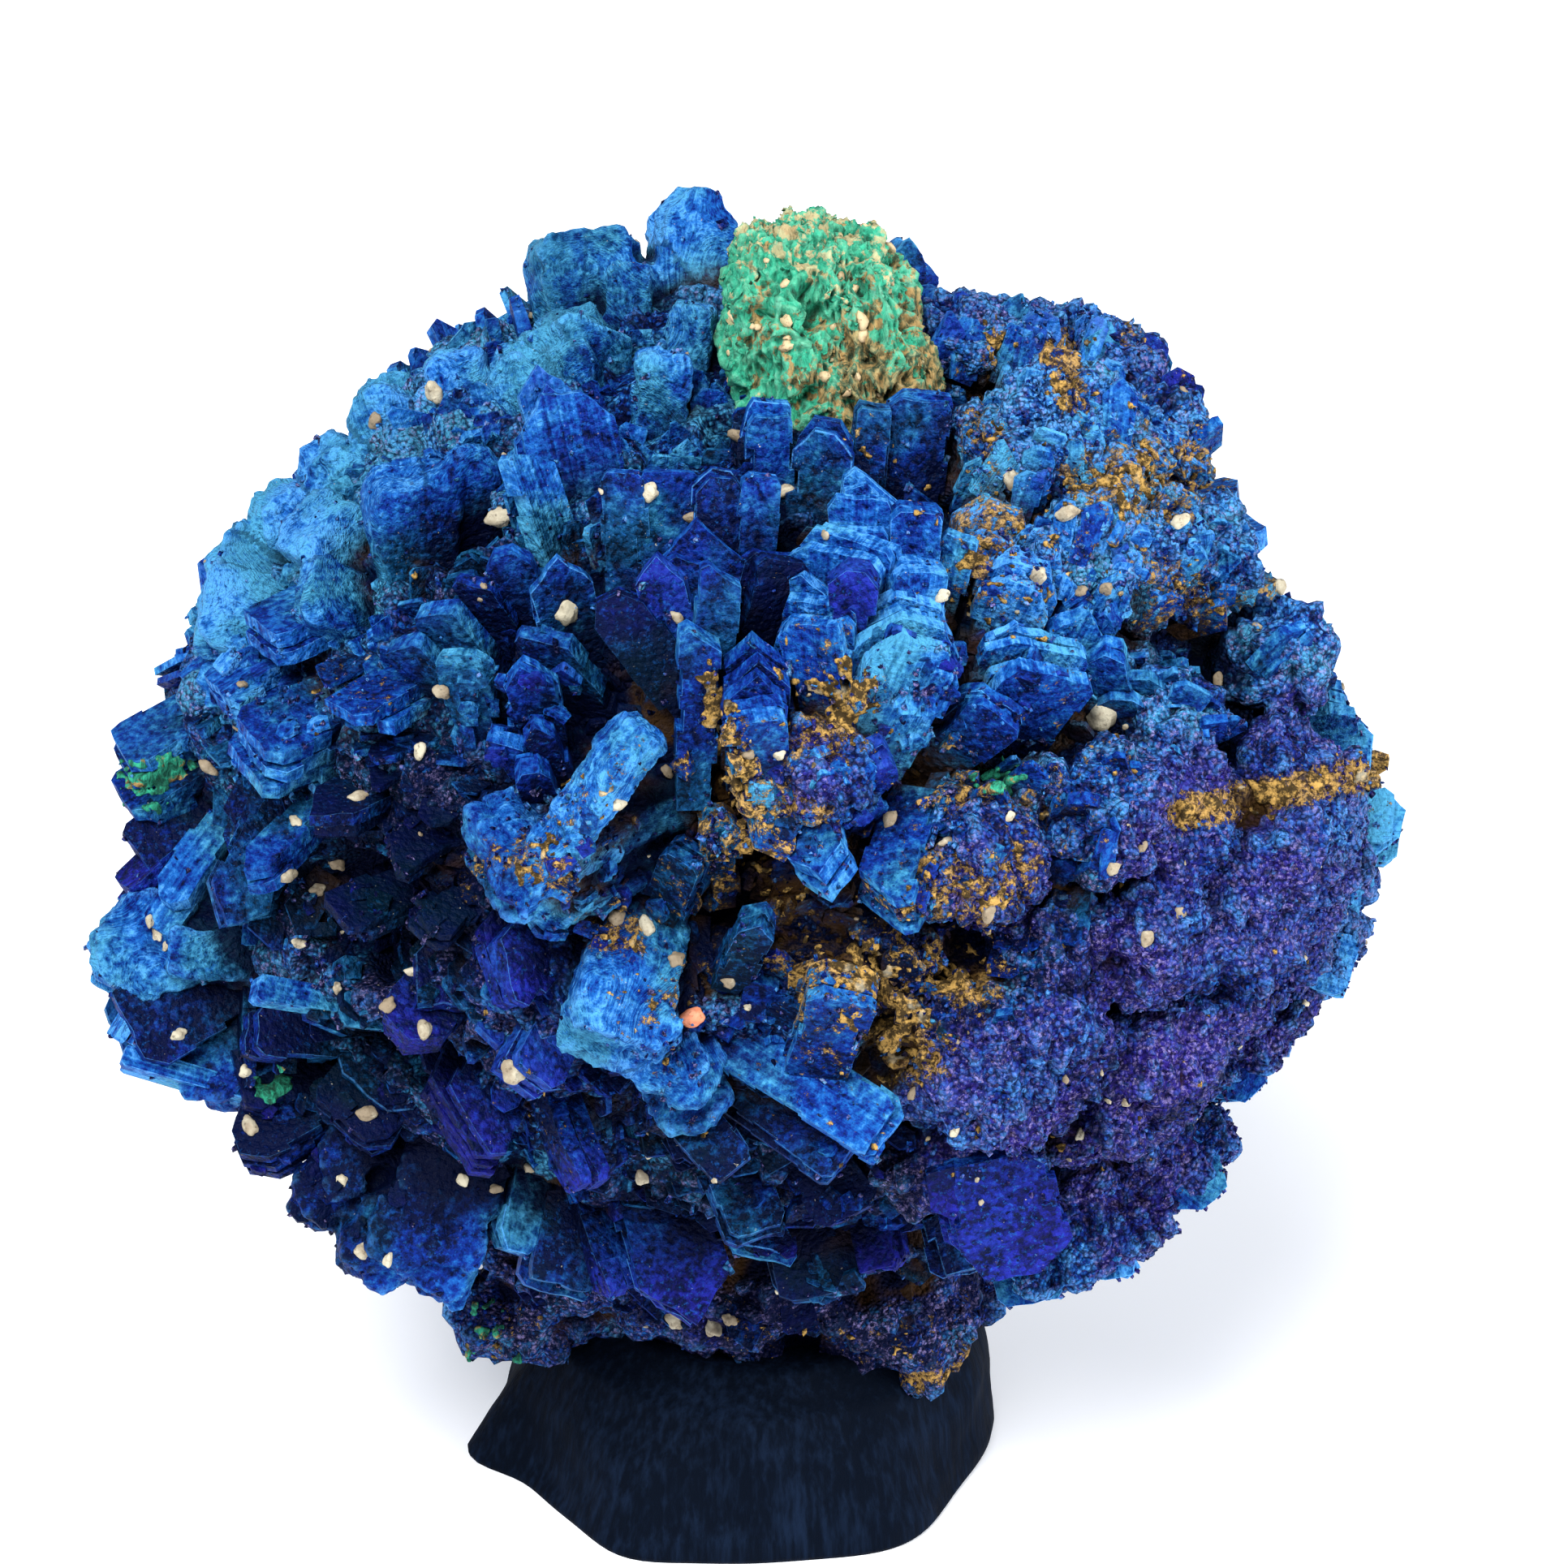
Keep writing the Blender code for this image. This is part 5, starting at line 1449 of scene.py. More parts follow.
def stand_level(level):
    """Height, share of the radius and corner sharpness at a level of the stand, 0 to 1."""
    marks = (
        (0.0, 0.0, 0.985, 0.95), (0.08, 0.14, 1.0, 0.95), (0.2, 0.5, 1.0, 0.9),
        (0.5, STAND_HEIGHT * 0.5, 0.94, 0.45), (0.8, STAND_HEIGHT * 0.8, STAND_SHOULDER_SHARE, 0.3),
        (1.0, STAND_HEIGHT, STAND_SHOULDER_SHARE - 0.16, 0.2),
    )
    for low, high in zip(marks, marks[1:]):
        if level <= high[0] + 1e-6:
            share = (level - low[0]) / (high[0] - low[0])
            return [a + (b - a) * share for a, b in zip(low[1:], high[1:])]
    return marks[-1][1:]


def stand_mesh():
    """The putty lump, with finger dents, drag marks and a dished top."""
    mesh = bmesh.new()
    bmesh.ops.create_cone(
        mesh, cap_ends=True, cap_tris=False, segments=STAND_SEGMENTS, radius1=1.0, radius2=1.0,
        depth=1.0,
    )
    walls = [e for e in mesh.edges if abs(e.verts[0].co.z - e.verts[1].co.z) > 0.5]
    bmesh.ops.subdivide_edges(mesh, edges=walls, cuts=STAND_CUTS)
    for vert in mesh.verts:
        angle = math.atan2(vert.co.y, vert.co.x)
        height, share, sharpness = stand_level(vert.co.z + 0.5)
        radius = stand_radius(angle, sharpness) * share
        round_it = Vector((math.cos(angle), math.sin(angle), 0.0))
        lean = STAND_SHOULDER_SHIFT * height / STAND_HEIGHT
        place = round_it * radius + Vector((lean, 0.0, height))
        dents = 0.22 * bumps(place, 0.42) + 0.05 * bumps(place, 1.5)
        folds = 0.05 * noise.noise(Vector((angle * 7.0, height * 0.35, 2.0)))
        fade = spread(height, 0.0, 0.5)
        vert.co = place + round_it * (dents + folds) * fade - round_it * 0.1 * fade
    top = max(mesh.faces, key=lambda face: face.calc_center_median().z)
    for inset, drop in STAND_DISH_RINGS:
        bmesh.ops.inset_region(mesh, faces=[top], thickness=inset, use_even_offset=False)
        bmesh.ops.translate(mesh, verts=top.verts, vec=(0.0, 0.0, -drop / 2))
    for cap in [face for face in mesh.faces if len(face.verts) > 4]:
        bmesh.ops.poke(mesh, faces=[cap])
    bmesh.ops.recalc_face_normals(mesh, faces=mesh.faces)
    return mesh


# ---------------- finishes


class Value:
    """A number or colour in a node tree. Sums on it add their own Math nodes."""

    def __init__(self, shader, socket):
        self.shader = shader
        self.socket = socket

    def named(self, output):
        """Another output of the same node."""
        return Value(self.shader, self.socket.node.outputs[output])

    def math(self, operation, other):
        return self.shader.add("ShaderNodeMath", {"operation": operation}, {0: self, 1: other})

    def __add__(self, other):
        return self.math("ADD", other)

    __radd__ = __add__

    def __sub__(self, other):
        return self.math("SUBTRACT", other)

    def __rsub__(self, other):
        return self.shader.add("ShaderNodeMath", {"operation": "SUBTRACT"}, {0: other, 1: self})

    def __mul__(self, other):
        return self.math("MULTIPLY", other)

    __rmul__ = __mul__

    def clamped(self):
        return self.shader.add("ShaderNodeClamp", {}, {"Value": self})

    def between(self, low, high):
        """0 below low, 1 above high, and a smooth ramp between."""
        return self.shader.add(
            "ShaderNodeMapRange", {"interpolation_type": "SMOOTHSTEP"},
            {"Value": self, "From Min": low, "From Max": high},
        )


class Shader:
    """One finish's node tree. Its add method puts in every node but the sums."""

    def __init__(self, name):
        self.material = bpy.data.materials.new(name)
        self.material.use_nodes = True
        self.tree = self.material.node_tree
        self.surface = self.tree.nodes["Principled BSDF"]
        self.place = self.add("ShaderNodeTexCoord", {}, {}, "Object")

    def add(self, kind, settings, sockets, output=0):
        """A node of this kind, its settings made first, then its sockets set or linked."""
        node = self.tree.nodes.new(kind)
        for name, value in settings.items():
            if name == "stops":
                self.set_stops(node.color_ramp, value)
            else:
                setattr(node, name, value)
        self.feed(node, sockets)
        return Value(self, node.outputs[output])

    def feed(self, node, sockets):
        """Links or sets a node's sockets."""
        for name, value in sockets.items():
            if isinstance(value, Value):
                self.tree.links.new(value.socket, node.inputs[name])
            else:
                node.inputs[name].default_value = value

    @staticmethod
    def set_stops(ramp, stops):
        while len(ramp.elements) < len(stops):
            ramp.elements.new(0.5)
        for element, (place, colour) in zip(ramp.elements, stops):
            element.position = place
            element.color = (*colour, 1.0)

    def noise(
        self, size, detail=3.0, rough=0.55, shift=0.0, stretch=(1.0, 1.0, 1.0), distortion=0.0,
        place=None,
    ):
        """Noise whose blobs are about this many millimetres across, 0 to 1."""
        place = self.add("ShaderNodeMapping", {}, {
            "Vector": place or self.place, "Scale": stretch, "Location": (shift, 0.0, 0.0),
        })
        return self.add("ShaderNodeTexNoise", {}, {
            "Vector": place, "Scale": 1.0 / (size * MM), "Detail": detail, "Roughness": rough,
            "Distortion": distortion,
        })

    def cells(self, size):
        """Distance to the nearest grain middle, for grains about this many millimetres across."""
        sockets = {"Vector": self.place, "Scale": 1.0 / (size * MM)}
        return self.add("ShaderNodeTexVoronoi", {}, sockets)

    def ramp(self, value, stops):
        return self.add("ShaderNodeValToRGB", {"stops": stops}, {"Fac": value})

    def mix(self, share, first, second):
        """Between two colours."""
        first, second = ((*c, 1.0) if not isinstance(c, Value) else c for c in (first, second))
        return self.add("ShaderNodeMix", {"data_type": "RGBA"}, {0: share, 6: first, 7: second}, 2)

    def read(self, name, output="Fac"):
        """The number of a plain layer, or the vector of a vector layer."""
        return self.add("ShaderNodeAttribute", {"attribute_name": name}, {}, output)

    def finish(self, colour, roughness, height, depth, strength=1.0, specular=0.5):
        """Feeds the surface: its colour, roughness, relief in millimetres and specular level."""
        sockets = {"Height": height, "Distance": depth * MM, "Strength": strength}
        bump = self.add("ShaderNodeBump", {}, sockets, "Normal")
        self.feed(self.surface, {
            "Base Color": colour, "Normal": bump, "Roughness": roughness,
            "Specular IOR Level": specular,
        })
        return self.material


def parts_of(vector):
    """The three numbers of a vector value."""
    split = vector.shader.add("ShaderNodeSeparateXYZ", {}, {"Vector": vector})
    return split, split.named("Y"), split.named("Z")


def dimmed(hue, share):
    """A colour made this many times as light."""
    return [c * share for c in hue]


def azurite_finish(name, hues, druse=False):
    """Azurite: grainy blue faces, violet tips, pale rims (wear and painted highlight), painted
    glints, painted shade in hollows, clay and dust.
    """
    shader = Shader(name)
    rim, dip_shade, chance = parts_of(shader.read("shape", "Vector"))
    tone, violet, clay = parts_of(shader.read("finish", "Vector"))
    tip, hollow, sideways = (shader.read(layer) for layer in ("tipward", "hollow", "sideways"))
    patch_size, patch_weight = (1.6, 1.3) if druse else (2.2, 0.6)
    grain_size, grain_weight, grain_relief = (0.105, 0.66, -0.9) if druse else (0.14, 0.2, -0.35)
    patches = shader.noise(patch_size, 2.0, 0.55, 0.03)
    mottle = shader.noise(0.65, 4.0, 0.72)
    bloom = shader.noise(0.2, 3.0, 0.7, 0.05)
    grains = shader.cells(grain_size)
    facet, glint, _ = parts_of(grains.named("Color"))
    along = {0: sideways, 1: chance * 0.01, 2: mottle * 0.00005}
    along = shader.add("ShaderNodeCombineXYZ", {}, along)
    streaks = shader.noise(0.11, 2.0, 0.6, place=along)
    streaky = tone.between(0.30, 0.62)

    light = tone + (streaks - 0.5) * streaky * 1.1 + (mottle - 0.5) * 1.15 + (bloom - 0.5) * 1.2
    light = light + (patches - 0.5) * patch_weight + (facet - 0.5) * grain_weight
    # Darker towards the crystals' roots and deeper in the rosette: painted shade.
    light = light + (chance - 0.5) * 0.14 - (1.0 - tip) * 0.14
    blues = shader.ramp(light, [
        (0.0, hues.navy), (0.30, hues.ultramarine), (0.62, hues.azure), (1.0, hues.pale),
    ])
    teals = shader.ramp(light, [
        (0.0, dimmed(hues.teal, 0.12)), (0.34, hues.teal), (0.86, PALE_TEAL),
    ])
    green = (patches * 1.2 + bloom * 0.4 - tip * 0.2).between(0.54, 0.84) * (1.0 - violet) * 0.85
    colour = shader.mix(green, blues, teals)
    if druse:
        glassy = hues.violet
        stain = violet * tip.between(0.05, 0.8) * (patches + bloom * 0.5).between(0.5, 0.95)
    else:
        glassy = hues.indigo
        stain = violet * tip.between(0.35, 0.95) * (mottle + bloom).between(0.75, 1.15)
    colour = shader.mix(stain * 0.9, colour, shader.mix(facet, dimmed(glassy, 0.3), glassy))
    # Pale rims towards the tips: partly wear, partly painted highlight on the edges.
    worn = rim * (mottle * 0.6 + bloom).between(0.58, 0.9) * tip.between(0.0, 0.5)
    colour = shader.mix(worn * (tone + 0.35).clamped() * 0.9, colour, hues.pale)
    if druse:
        # Painted glints: lilac specks on the druse where its patches are lit, kept out of the
        # hollows.
        painted_glint = (shader.noise(0.14, 4.0, 0.85, 0.21) + glint * 0.12).between(0.56, 0.72)
        lit = patches.between(0.36, 0.58) * 0.5 + 0.2
        colour = shader.mix(painted_glint * (1.0 - hollow) * tip.between(0.0, 0.4) * lit, colour, GLINT_LILAC)
        # Navy in the gaps between the druse's tiny grains: painted shade.
        colour = shader.mix(grains.between(0.45, 0.8) * 0.8, colour, hues.navy)
    else:
        # Painted sparkle: small azure glints on the leaves, kept out of the hollows.
        painted_sparkle = shader.noise(0.13, 3.0, 0.75, 0.21).between(0.56, 0.68) * (1.0 - hollow)
        colour = shader.mix(painted_sparkle * tone.between(-0.5, 0.5) * 0.6, colour, hues.azure)

    crust = shader.noise(0.3, 5.0, 0.82, 0.09)
    dusty = (clay * 0.36 + crust + bloom * 0.1).between(0.79, 0.86)
    earthy = shader.noise(0.16, 3.0, 0.7, 0.17).between(0.40, 0.58)
    earth = shader.mix(earthy, dimmed(hues.clay, 0.1), hues.clay)
    colour = shader.mix(dusty * 0.92, colour, earth)
    fleck = shader.noise(0.11, 2.0, 0.6, 0.13).between(0.71, 0.76) * (1.0 - hollow)
    colour = shader.mix(fleck * crust.between(0.45, 0.6) * 0.7, colour, hues.sand)

    # Painted shade: deep hollows, sunken points and dark noise patches go towards near-black navy,
    # browner where clay lies.
    shade = (hollow * 1.3 + (1.0 - bloom) * 0.6 - 0.25).math("MAXIMUM", dip_shade * 0.8)
    brown_shade_share = patches.between(0.45, 0.6) * clay.between(0.02, 0.3)
    painted_shade = shader.mix(0.45, shader.mix(brown_shade_share, hues.navy, BROWN_SHADE), SHADE_BLACK)
    colour = shader.mix(shade.between(0.1, 1.0) * 0.95, colour, painted_shade)
    relief = bloom * 0.7 + mottle * 0.9 + streaks * streaky * 0.8 + grains * grain_relief
    roughness = 0.36 + bloom * 0.3 + dusty * 0.3
    return shader.finish(colour, roughness, relief + dusty * 0.3, 0.14, 1.0, 0.04)


def clay_finish(hues):
    """Ochre clay: earthy, crumbly and browner in its pores."""
    shader = Shader("ochre_clay")
    crumbs = shader.noise(0.22, 5.0, 0.75)
    pores = shader.cells(0.15)
    bare = (crumbs - pores * 0.12).between(0.38, 0.56)
    colour = shader.mix(bare, dimmed(hues.clay, 0.08), hues.clay)
    colour = shader.mix(shader.noise(0.7, 3.0).between(0.58, 0.7) * 0.5, colour, hues.sand)
    return shader.finish(colour, 0.92, crumbs + pores * 0.5, 0.08, 0.9, 0.2)


def sand_finish(name, hue, shade):
    """A sand grain: cream to tan and slightly glassy, with darker pits."""
    shader = Shader(name)
    darkness, _, _ = parts_of(shader.read("finish", "Vector"))
    cloud = shader.noise(0.35, 3.0, 0.6)
    pits = shader.noise(0.12, 3.0, 0.6, 0.02)
    colour = shader.mix((cloud + 0.2 - darkness * 0.45).between(0.3, 0.75), shade, hue)
    colour = shader.mix(pits.between(0.56, 0.7) * 0.7, colour, dimmed(shade, 0.35))
    return shader.finish(colour, 0.5 + pits * 0.3, pits + cloud, 0.04, 0.8, 0.3)


def malachite_finish(name, hues, sandy):
    """Malachite: fibrous green, pale on its ridges, with sand and rust caught in it, and painted
    shade in its pits.
    """
    shader = Shader(name)
    fibres = shader.noise(0.34, 5.0, 0.65, stretch=(2.0, 2.0, 0.8), distortion=0.8)
    patches = shader.noise(1.7, 3.0, 0.6, 0.03)
    specks = shader.noise(0.36, 4.0, 0.65, 0.07)
    ridge, pit, _ = parts_of(shader.read("shape", "Vector"))
    right, _, high = parts_of(shader.place)
    right, high = right * (1.0 / MM), high * (1.0 / MM)
    mint = [min(1.0, 0.9 * c + 0.13 * sandy) for c in hues.malachite]
    darker = 0.12 * (1.0 - sandy)
    colour = shader.ramp(fibres * 0.8 + patches * 0.3, [
        (0.36 + darker, hues.bottle), (0.54 + darker, hues.malachite), (0.76 + darker, mint),
    ])
    rusty = right.between(0.8, 3.0) * high.between(*TUFT_RUST_HEIGHTS) * 0.17 * sandy
    rust = (specks * 0.9 + patches * 0.7 + rusty).between(0.86, 0.93)
    colour = shader.mix(rust * 0.85, colour, shader.mix(fibres.between(0.4, 0.6), DARK_RUST, RUST))
    sand = high.between(*TUFT_SAND_HEIGHTS) * 0.13 * sandy
    cream = (shader.noise(0.5, 4.0, 0.65, 0.11) + sand).between(0.63, 0.68)
    colour = shader.mix(cream * 0.8 * sandy, colour, CREAM)
    colour = shader.mix(ridge * 0.3, colour, RIDGE_GREEN)
    # Painted shade: the crust's pits, with noise specks, go almost black-green.
    pit_shade = (pit + specks.between(0.46, 0.32) * 0.5).clamped()
    colour = shader.mix(pit_shade * 0.92, colour, PIT_SHADE_GREEN)
    return shader.finish(colour, 0.65 + specks * 0.25, fibres + specks * 0.5, 0.12, 1.0, 0.2)


def putty_finish(hues):
    """Dark putty: a dull skin with fine drag marks running up it."""
    shader = Shader("putty")
    marks = shader.noise(0.5, 4.0, 0.6, stretch=(2.4, 2.4, 0.16))
    cloud = shader.noise(3.0, 2.0, 0.5, 0.04)
    dust = shader.noise(0.2, 2.0, 0.5, 0.08)
    scuffed = (marks * 0.8 + cloud * 0.4).between(0.5, 0.85) * 0.6
    colour = shader.mix(scuffed, hues.putty, dimmed(hues.putty, 5.0))
    return shader.finish(colour, 0.6 + marks * 0.2, marks + dust * 0.25, 0.07, 0.7, 0.02)


def floor_finish(stage):
    """The pale floor, which glows a little."""
    shader = Shader("pale_floor")
    cloud = shader.noise(60.0, 2.0)
    colour = shader.mix(cloud, stage.floor, dimmed(stage.floor, 0.985))
    glow = {"Emission Color": (*stage.sky, 1.0), "Emission Strength": stage.floor_glow}
    shader.feed(shader.surface, glow)
    return shader.finish(colour, 0.75, cloud, 0.001, 0.1)


# ---------------- operators


def settings(context):
    """The sizes and the colours that a user may have changed."""
    return context.scene.specimen_sizes, context.scene.specimen_colours


class SPECIMEN_OT_body(bpy.types.Operator):
    """Make the rosette's body and stub in one rough skin, and the drusy swellings on it"""

    bl_idname = "specimen.body"
    bl_label = "Rosette body"

    def execute(self, context):
        sizes, colours = settings(context)
        grain = in_mm(sizes.body_grain)
        finish = azurite_finish("azurite_body", colours, druse=True)
        crystals = all_front_crystals() + back_crystals()
        kinds = (
            (BODY, body_mesh, roughen_body, grain),
            (SWELLINGS_SKIN, swelling_mesh, roughen_swellings, SWELLING_GRAIN_SHARE * grain),
        )
        for name, make, roughen, facets in kinds:
            skin = make(facets)
            roughen(skin)
            mark_skin(skin, crystals, facets)
            finish_piece(name, skin, finish, smooth=True, ground=True)
        return {"FINISHED"}


class SPECIMEN_OT_front_crystals(bpy.types.Operator):
    """Grow the front crystals, each a book of stepped leaves, crisp or weathered"""

    bl_idname = "specimen.front_crystals"
    bl_label = "Front crystals"

    def execute(self, context):
        sizes, colours = settings(context)
        grain = WEATHERED_GRAIN_SHARE * in_mm(sizes.body_grain)
        finish = azurite_finish("azurite_leaves", colours)
        for seed, (name, rows) in enumerate(FRONT_GROUPS.items()):
            crystals = [c for c in front_crystals(rows) if c.look != "rough"]
            mesh = grown_books(crystals, seed, sizes.leaf_pitch, sizes)
            weathered = name in WEATHERED_GROUPS
            if weathered:
                mesh = remeshed(mesh, grain)
                weather(mesh, crystals)
                mark_skin(mesh, crystals, grain)
            finish_piece(name, mesh, finish, smooth=weathered, ground=True)
        return {"FINISHED"}


class SPECIMEN_OT_back_crystals(bpy.types.Operator):
    """Grow the crystals of the back and the underside"""

    bl_idname = "specimen.back_crystals"
    bl_label = "Back crystals"

    def execute(self, context):
        sizes = context.scene.specimen_sizes
        finish = bpy.data.materials["azurite_leaves"]
        for seed, half in enumerate(("upper", "lower"), SEEDS["back_books"]):
            upper = half == "upper"
            crystals = [c for c in back_crystals() if (c.tip.z > ROSETTE_MIDDLE.z) == upper]
            mesh = grown_books(crystals, seed, sizes.back_leaf_pitch, sizes)
            finish_piece(f"{half}_back_crystals", mesh, finish, ground=True)
        return {"FINISHED"}


class SPECIMEN_OT_blades(bpy.types.Operator):
    """Fill the body between the crystals with small blades, and chip what is damaged"""

    bl_idname = "specimen.blades"
    bl_label = "Small blades"

    def execute(self, context):
        sizes = context.scene.specimen_sizes
        finish = bpy.data.materials["azurite_leaves"]
        front = all_front_crystals()
        kinds = (
            ("front_blades", front, sizes.front_blades, (0.3, 0.95), 1.0),
            ("back_blades", back_crystals(), sizes.back_blades, (0.6, 1.7), -1.0),
        )
        for name, crystals, count, widths, facing in kinds:
            pile = Pile()
            add_blades(pile, crystals, count, random.Random(SEEDS["blades"]), widths, facing)
            finish_piece(name, pile.close(), finish, ground=True)
        chips = Pile()
        add_chips(chips, front, sizes.chips, random.Random(SEEDS["chips"]))
        finish_piece("broken_chips", chips.close(), finish, ground=True)
        return {"FINISHED"}


class SPECIMEN_OT_druse(bpy.types.Operator):
    """Sprinkle the druse with tiny tabular crystals"""

    bl_idname = "specimen.druse"
    bl_label = "Druse"

    def execute(self, context):
        sizes, colours = settings(context)
        finish = azurite_finish("azurite_druse", colours, druse=True)
        pile = Pile()
        add_sugar(pile, sizes.sugar, random.Random(SEEDS["druse"]))
        finish_piece("druse_crystals", pile.close(), finish)
        return {"FINISHED"}


class SPECIMEN_OT_hollows(bpy.types.Operator):
    """Find how deep each point of the azurite lies in the hollows between the crystals, for the
    painted shade there
    """

    bl_idname = "specimen.hollows"
    bl_label = "Hollows"

    def execute(self, context):
        meshes = [o.data for o in context.scene.objects if o.type == "MESH"]
        mark_hollows([m for m in meshes if m.materials[0].name.startswith("azurite")])
        return {"FINISHED"}


class SPECIMEN_OT_clay(bpy.types.Operator):
    """Press crumbs of ochre clay into the crevices"""

    bl_idname = "specimen.clay"
    bl_label = "Ochre clay"

    def execute(self, context):
        draw = random.Random(SEEDS["clay"])
        pile = Pile()
        patterns = crumb_patterns("crumb", 4, 2, 1.1, 0)
        for x0, y0, x1, y1, half_width, amount in CLAY_STREAKS:
            area = 2.0 * half_width * (math.dist((x0, y0), (x1, y1)) + 2.0 * half_width)
            for _ in range(int(56 * amount ** 3 * area)):
                share = draw.random()
                found = landing(
                    x0 + (x1 - x0) * share + draw.gauss(0.0, 0.55) * half_width,
                    y0 + (y1 - y0) * share + draw.gauss(0.0, 0.55) * half_width,
                )
                if found and bumps(found[0], 1.6) > -0.04:
                    across = draw.uniform(0.08, 0.22)
                    add_grain(pile, patterns, found, across, draw, (0.0, 0.0, 1.0))
        film = remeshed(pile.close(), CLAY_GRAIN)
        finish = clay_finish(context.scene.specimen_colours)
        finish_piece("ochre_clay", film, finish, smooth=True)
        return {"FINISHED"}


class SPECIMEN_OT_sand(bpy.types.Operator):
    """Strew cream sand grains over the rosette, and one pink grain"""

    bl_idname = "specimen.sand"
    bl_label = "Sand grains"

    def execute(self, context):
        sizes, colours = settings(context)
        draw = random.Random(SEEDS["sand"])
        pile = Pile()
        patterns = crumb_patterns("grain", 5, 3, 0.5, 10)
        for across, up, size in SAND_GRAINS:
            found = landing(across, up)
            if found:
                look = (draw.uniform(0.0, 1.0), 0.0, 0.0)
                add_grain(pile, patterns, found, 0.92 * size, draw, look)
        small = crumb_patterns("small_grain", 5, 2, 0.6, 20)
        for _ in range(sizes.loose_grains):
            found = GROUND.struck(draw, ROSETTE_MIDDLE, ROSETTE_RAY)
            if found and clear_of_stand(found[0]):
                look = (draw.uniform(0.2, 1.0), 0.0, 0.0)
                add_grain(pile, small, found, min(0.36, 0.09 + draw.expovariate(13.0)), draw, look)
        finish = sand_finish("sand", colours.sand, SAND_SHADE)
        finish_piece("sand_grains", pile.close(), finish, smooth=True)
        pink = Pile()
        across, up, size = PINK_GRAIN
        add_grain(pink, patterns, landing(across, up), size, draw, look)
        finish = sand_finish("pink_sand", PINK_SAND, PINK_SHADE)
        finish_piece("pink_grain", pink.close(), finish, smooth=True)
        return {"FINISHED"}


class SPECIMEN_OT_green_spots(bpy.types.Operator):
    """Dot the azurite with small malachite crusts"""

    bl_idname = "specimen.green_spots"
    bl_label = "Malachite spots"

    def execute(self, context):
        draw = random.Random(SEEDS["spots"])
        pile = Pile()
        patterns = crumb_patterns("bead", 4, 2, 0.9, 40)
        for across, up, radius in GREEN_SPOTS:
            for _ in range(int(150 * radius)):
                right, high = draw.gauss(0.0, 0.45) * radius, draw.gauss(0.0, 0.33) * radius
                found = landing(across + right, up + high)
                if found and bumps(found[0], 1.8) > -0.1:
                    add_grain(pile, patterns, found, draw.uniform(0.1, 0.24), draw)
        film = remeshed(pile.close(), SPOT_GRAIN)
        finish = malachite_finish("malachite_spots", context.scene.specimen_colours, 0.0)
        finish_piece("malachite_spots", film, finish, smooth=True)
        return {"FINISHED"}


class SPECIMEN_OT_tuft(bpy.types.Operator):
    """Make the malachite tuft: a fibrous crust with flakes and caught sand"""

    bl_idname = "specimen.tuft"
    bl_label = "Malachite tuft"

    def execute(self, context):
        sizes, colours = settings(context)
        block = tuft_mesh()
        crust(block)
        mark_crust(block, CRUST_GRAIN)
        ground = Ground()
        ground.lay("tuft_block", block)
        draw = random.Random(SEEDS["tuft"])
        flakes = Pile()
        add_flakes(flakes, ground, sizes.tuft_flakes, draw)
        sand = Pile()
        patterns = crumb_patterns("tuft_grain", 4, 2, 0.6, 50)
        middle = TUFT_FOOT + Vector((0.0, 0.0, TUFT_HEIGHT * 0.5))
        for _ in range(sizes.tuft_grains):
            found = ground.struck(draw, middle, TUFT_RAY)
            if found and found[0].z > TUFT_FOOT.z + 0.2:
                add_grain(sand, patterns, found, draw.uniform(0.14, 0.4), draw)
        green = malachite_finish("malachite_tuft", colours, 1.0)
        sandy = sand_finish("tuft_sand", TAN_SAND, TAN_SHADE)
        for name, mesh, finish in (
            ("tuft_block", block, green), ("tuft_flakes", flakes.close(), green),
            ("tuft_sand", sand.close(), sandy),
        ):
            finish_piece(name, mesh, finish, smooth=True, stands_for=TUFT)
        return {"FINISHED"}


class SPECIMEN_OT_stand(bpy.types.Operator):
    """Press the putty stand into shape"""

    bl_idname = "specimen.stand"
    bl_label = "Putty stand"

    def execute(self, context):
        finish = putty_finish(context.scene.specimen_colours)
        finish_piece("stand", stand_mesh(), finish, smooth=True, stands_for=STAND)
        return {"FINISHED"}


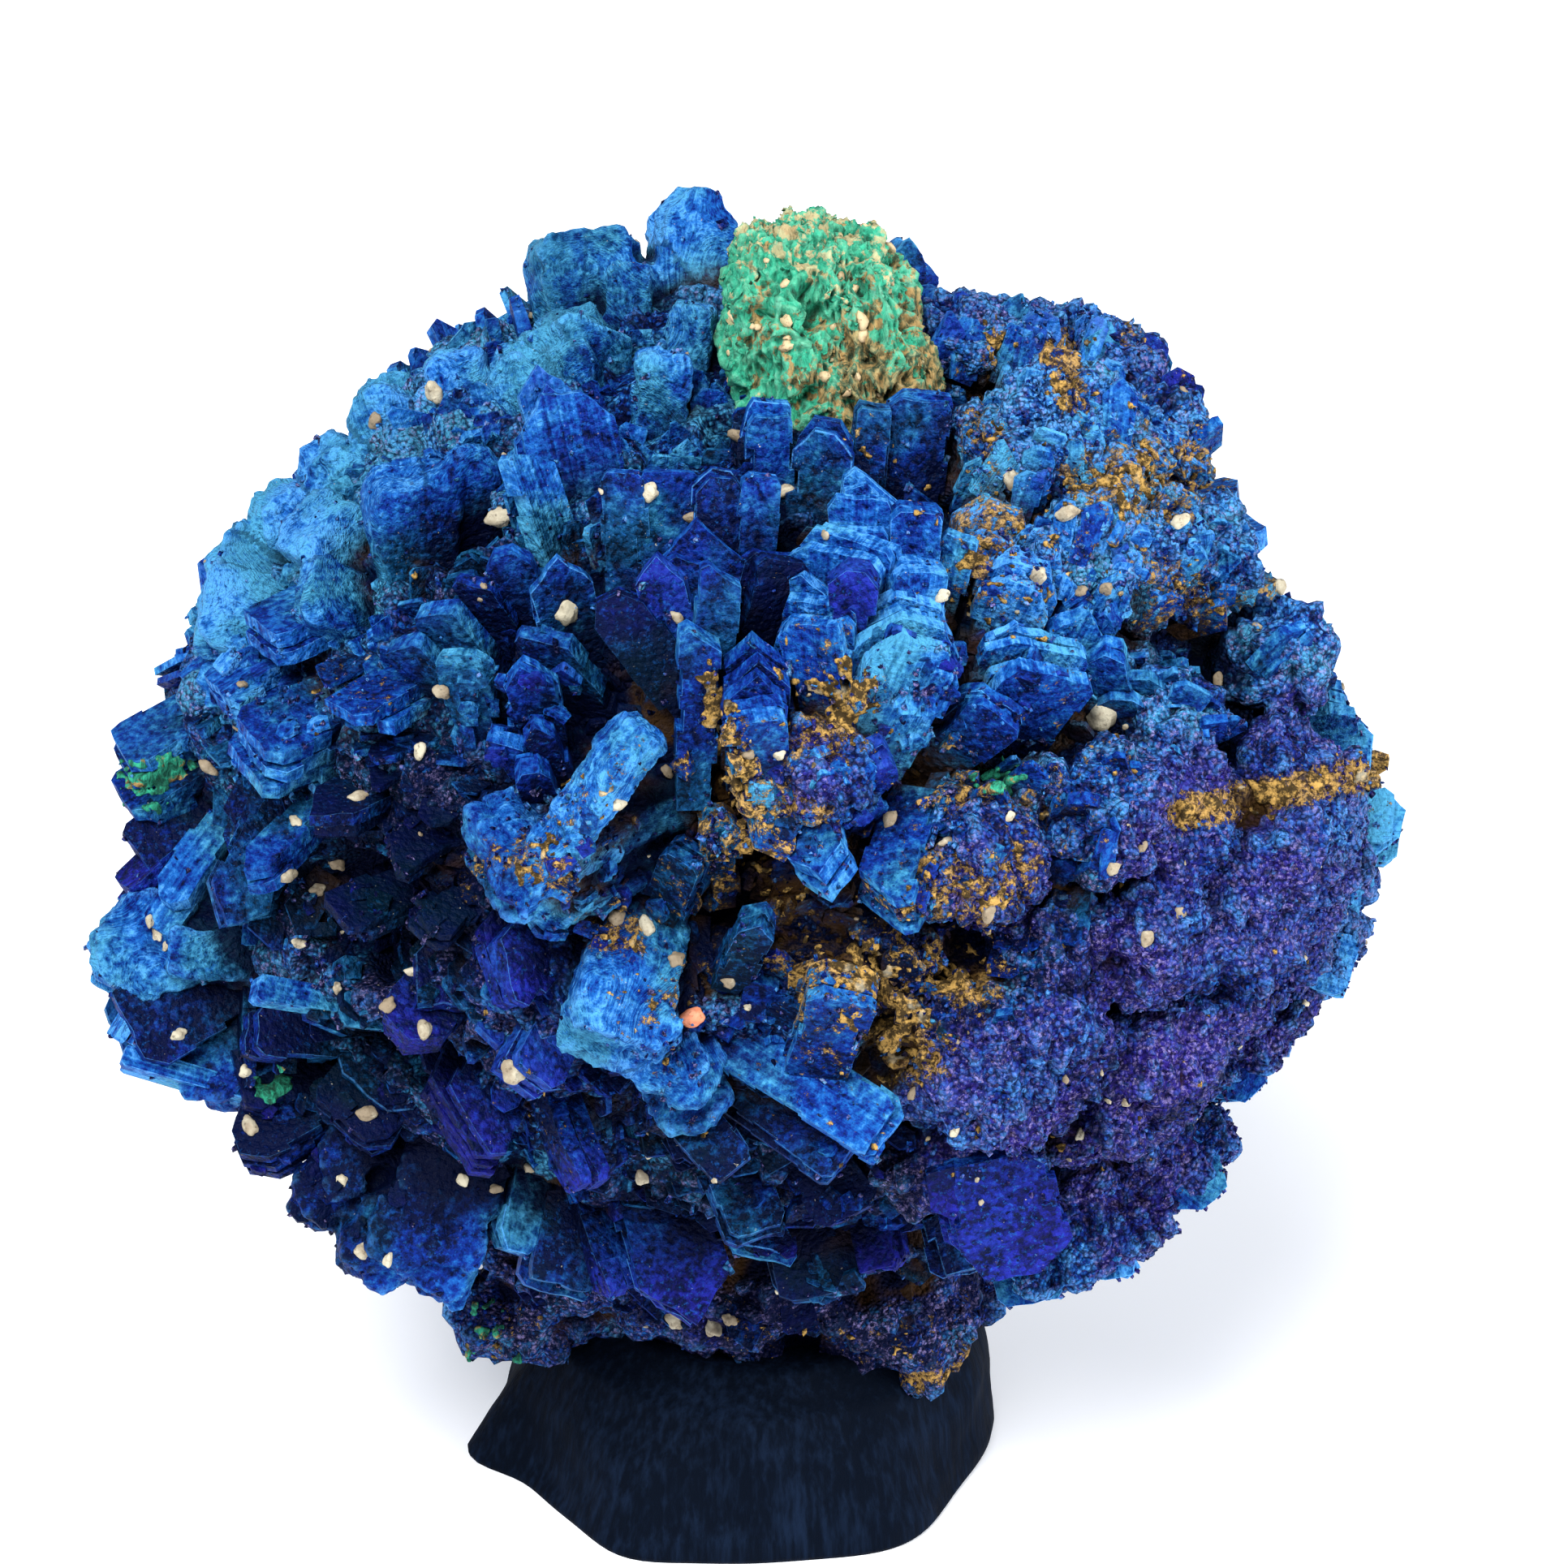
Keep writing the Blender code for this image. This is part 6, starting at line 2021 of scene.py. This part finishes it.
class SPECIMEN_OT_stage(bpy.types.Operator):
    """Set the pale floor, the soft light and the camera"""

    bl_idname = "specimen.stage"
    bl_label = "Stage"

    def execute(self, context):
        scene = context.scene
        stage = scene.specimen_stage
        mesh = bmesh.new()
        bmesh.ops.create_grid(mesh, x_segments=1, y_segments=1, size=stage.floor_width / 2)
        data = closed(mesh, "floor")
        data.materials.append(floor_finish(stage))
        floor = placed("floor", data)
        world = bpy.data.worlds.new("fill")
        world.use_nodes = True
        sky = world.node_tree.nodes["Background"]
        sky.inputs["Color"].default_value = (*stage.sky, 1.0)
        sky.inputs["Strength"].default_value = stage.sky_strength
        scene.world = world
        for name, (place, width, share) in LIGHTS.items():
            self.add_light(name, place, width, share * stage.key_power)
        scene.camera = self.add_camera()
        scene.view_settings.view_transform = "Standard"
        return {"FINISHED"}

    @staticmethod
    def add_light(name, place, width, power):
        """A square soft light aimed at the middle of the rosette."""
        data = bpy.data.lights.new(name, "AREA")
        data.size = width
        data.energy = power
        light = placed(name, data)
        light.location = place
        light.rotation_euler = (ROSETTE_MIDDLE * MM - place).to_track_quat("-Z", "Y").to_euler()

    @staticmethod
    def add_camera():
        """The camera looks down on the front from the eye that the crystals are laid out for."""
        data = bpy.data.cameras.new("camera")
        data.sensor_width = data.sensor_height = SENSOR
        data.lens = SENSOR * EYE_DISTANCE / FRAME_WIDTH
        data.clip_start = 0.005
        data.clip_end = 5.0
        camera = placed("camera", data)
        turn = Matrix((RIGHT, RISE, TOWARD)).transposed().to_4x4()
        camera.matrix_world = Matrix.Translation(eye() * MM) @ turn
        return camera


class SPECIMEN_PT_panel(bpy.types.Panel):
    """Lists what grows on the specimen, with its sizes and colours"""

    bl_idname = "SPECIMEN_PT_panel"
    bl_label = "Azurite specimen"
    bl_space_type = "VIEW_3D"
    bl_region_type = "UI"
    bl_category = "Specimen"

    def draw(self, context):
        column = self.layout.column()
        for operator in OPERATORS:
            column.operator(operator.bl_idname)
        for group, kind in SETTINGS.items():
            box = self.layout.box()
            for name in kind.__annotations__:
                box.prop(getattr(context.scene, group), name)


OPERATORS = (
    SPECIMEN_OT_body, SPECIMEN_OT_front_crystals, SPECIMEN_OT_back_crystals, SPECIMEN_OT_blades,
    SPECIMEN_OT_druse, SPECIMEN_OT_hollows, SPECIMEN_OT_clay, SPECIMEN_OT_sand,
    SPECIMEN_OT_green_spots, SPECIMEN_OT_tuft, SPECIMEN_OT_stand, SPECIMEN_OT_stage,
)
SETTINGS = {
    "specimen_sizes": SpecimenSizes, "specimen_colours": SpecimenColours,
    "specimen_stage": SpecimenStage,
}
CLASSES = (*SETTINGS.values(), *OPERATORS, SPECIMEN_PT_panel)


def register():
    for made in CLASSES:
        bpy.utils.register_class(made)
    for name, group in SETTINGS.items():
        setattr(bpy.types.Scene, name, bpy.props.PointerProperty(type=group))


def unregister():
    for name in SETTINGS:
        delattr(bpy.types.Scene, name)
    for made in reversed(CLASSES):
        bpy.utils.unregister_class(made)


def main():
    register()
    for operator in OPERATORS:
        group, name = operator.bl_idname.split(".")
        getattr(getattr(bpy.ops, group), name)()


if __name__ == "__main__":
    main()
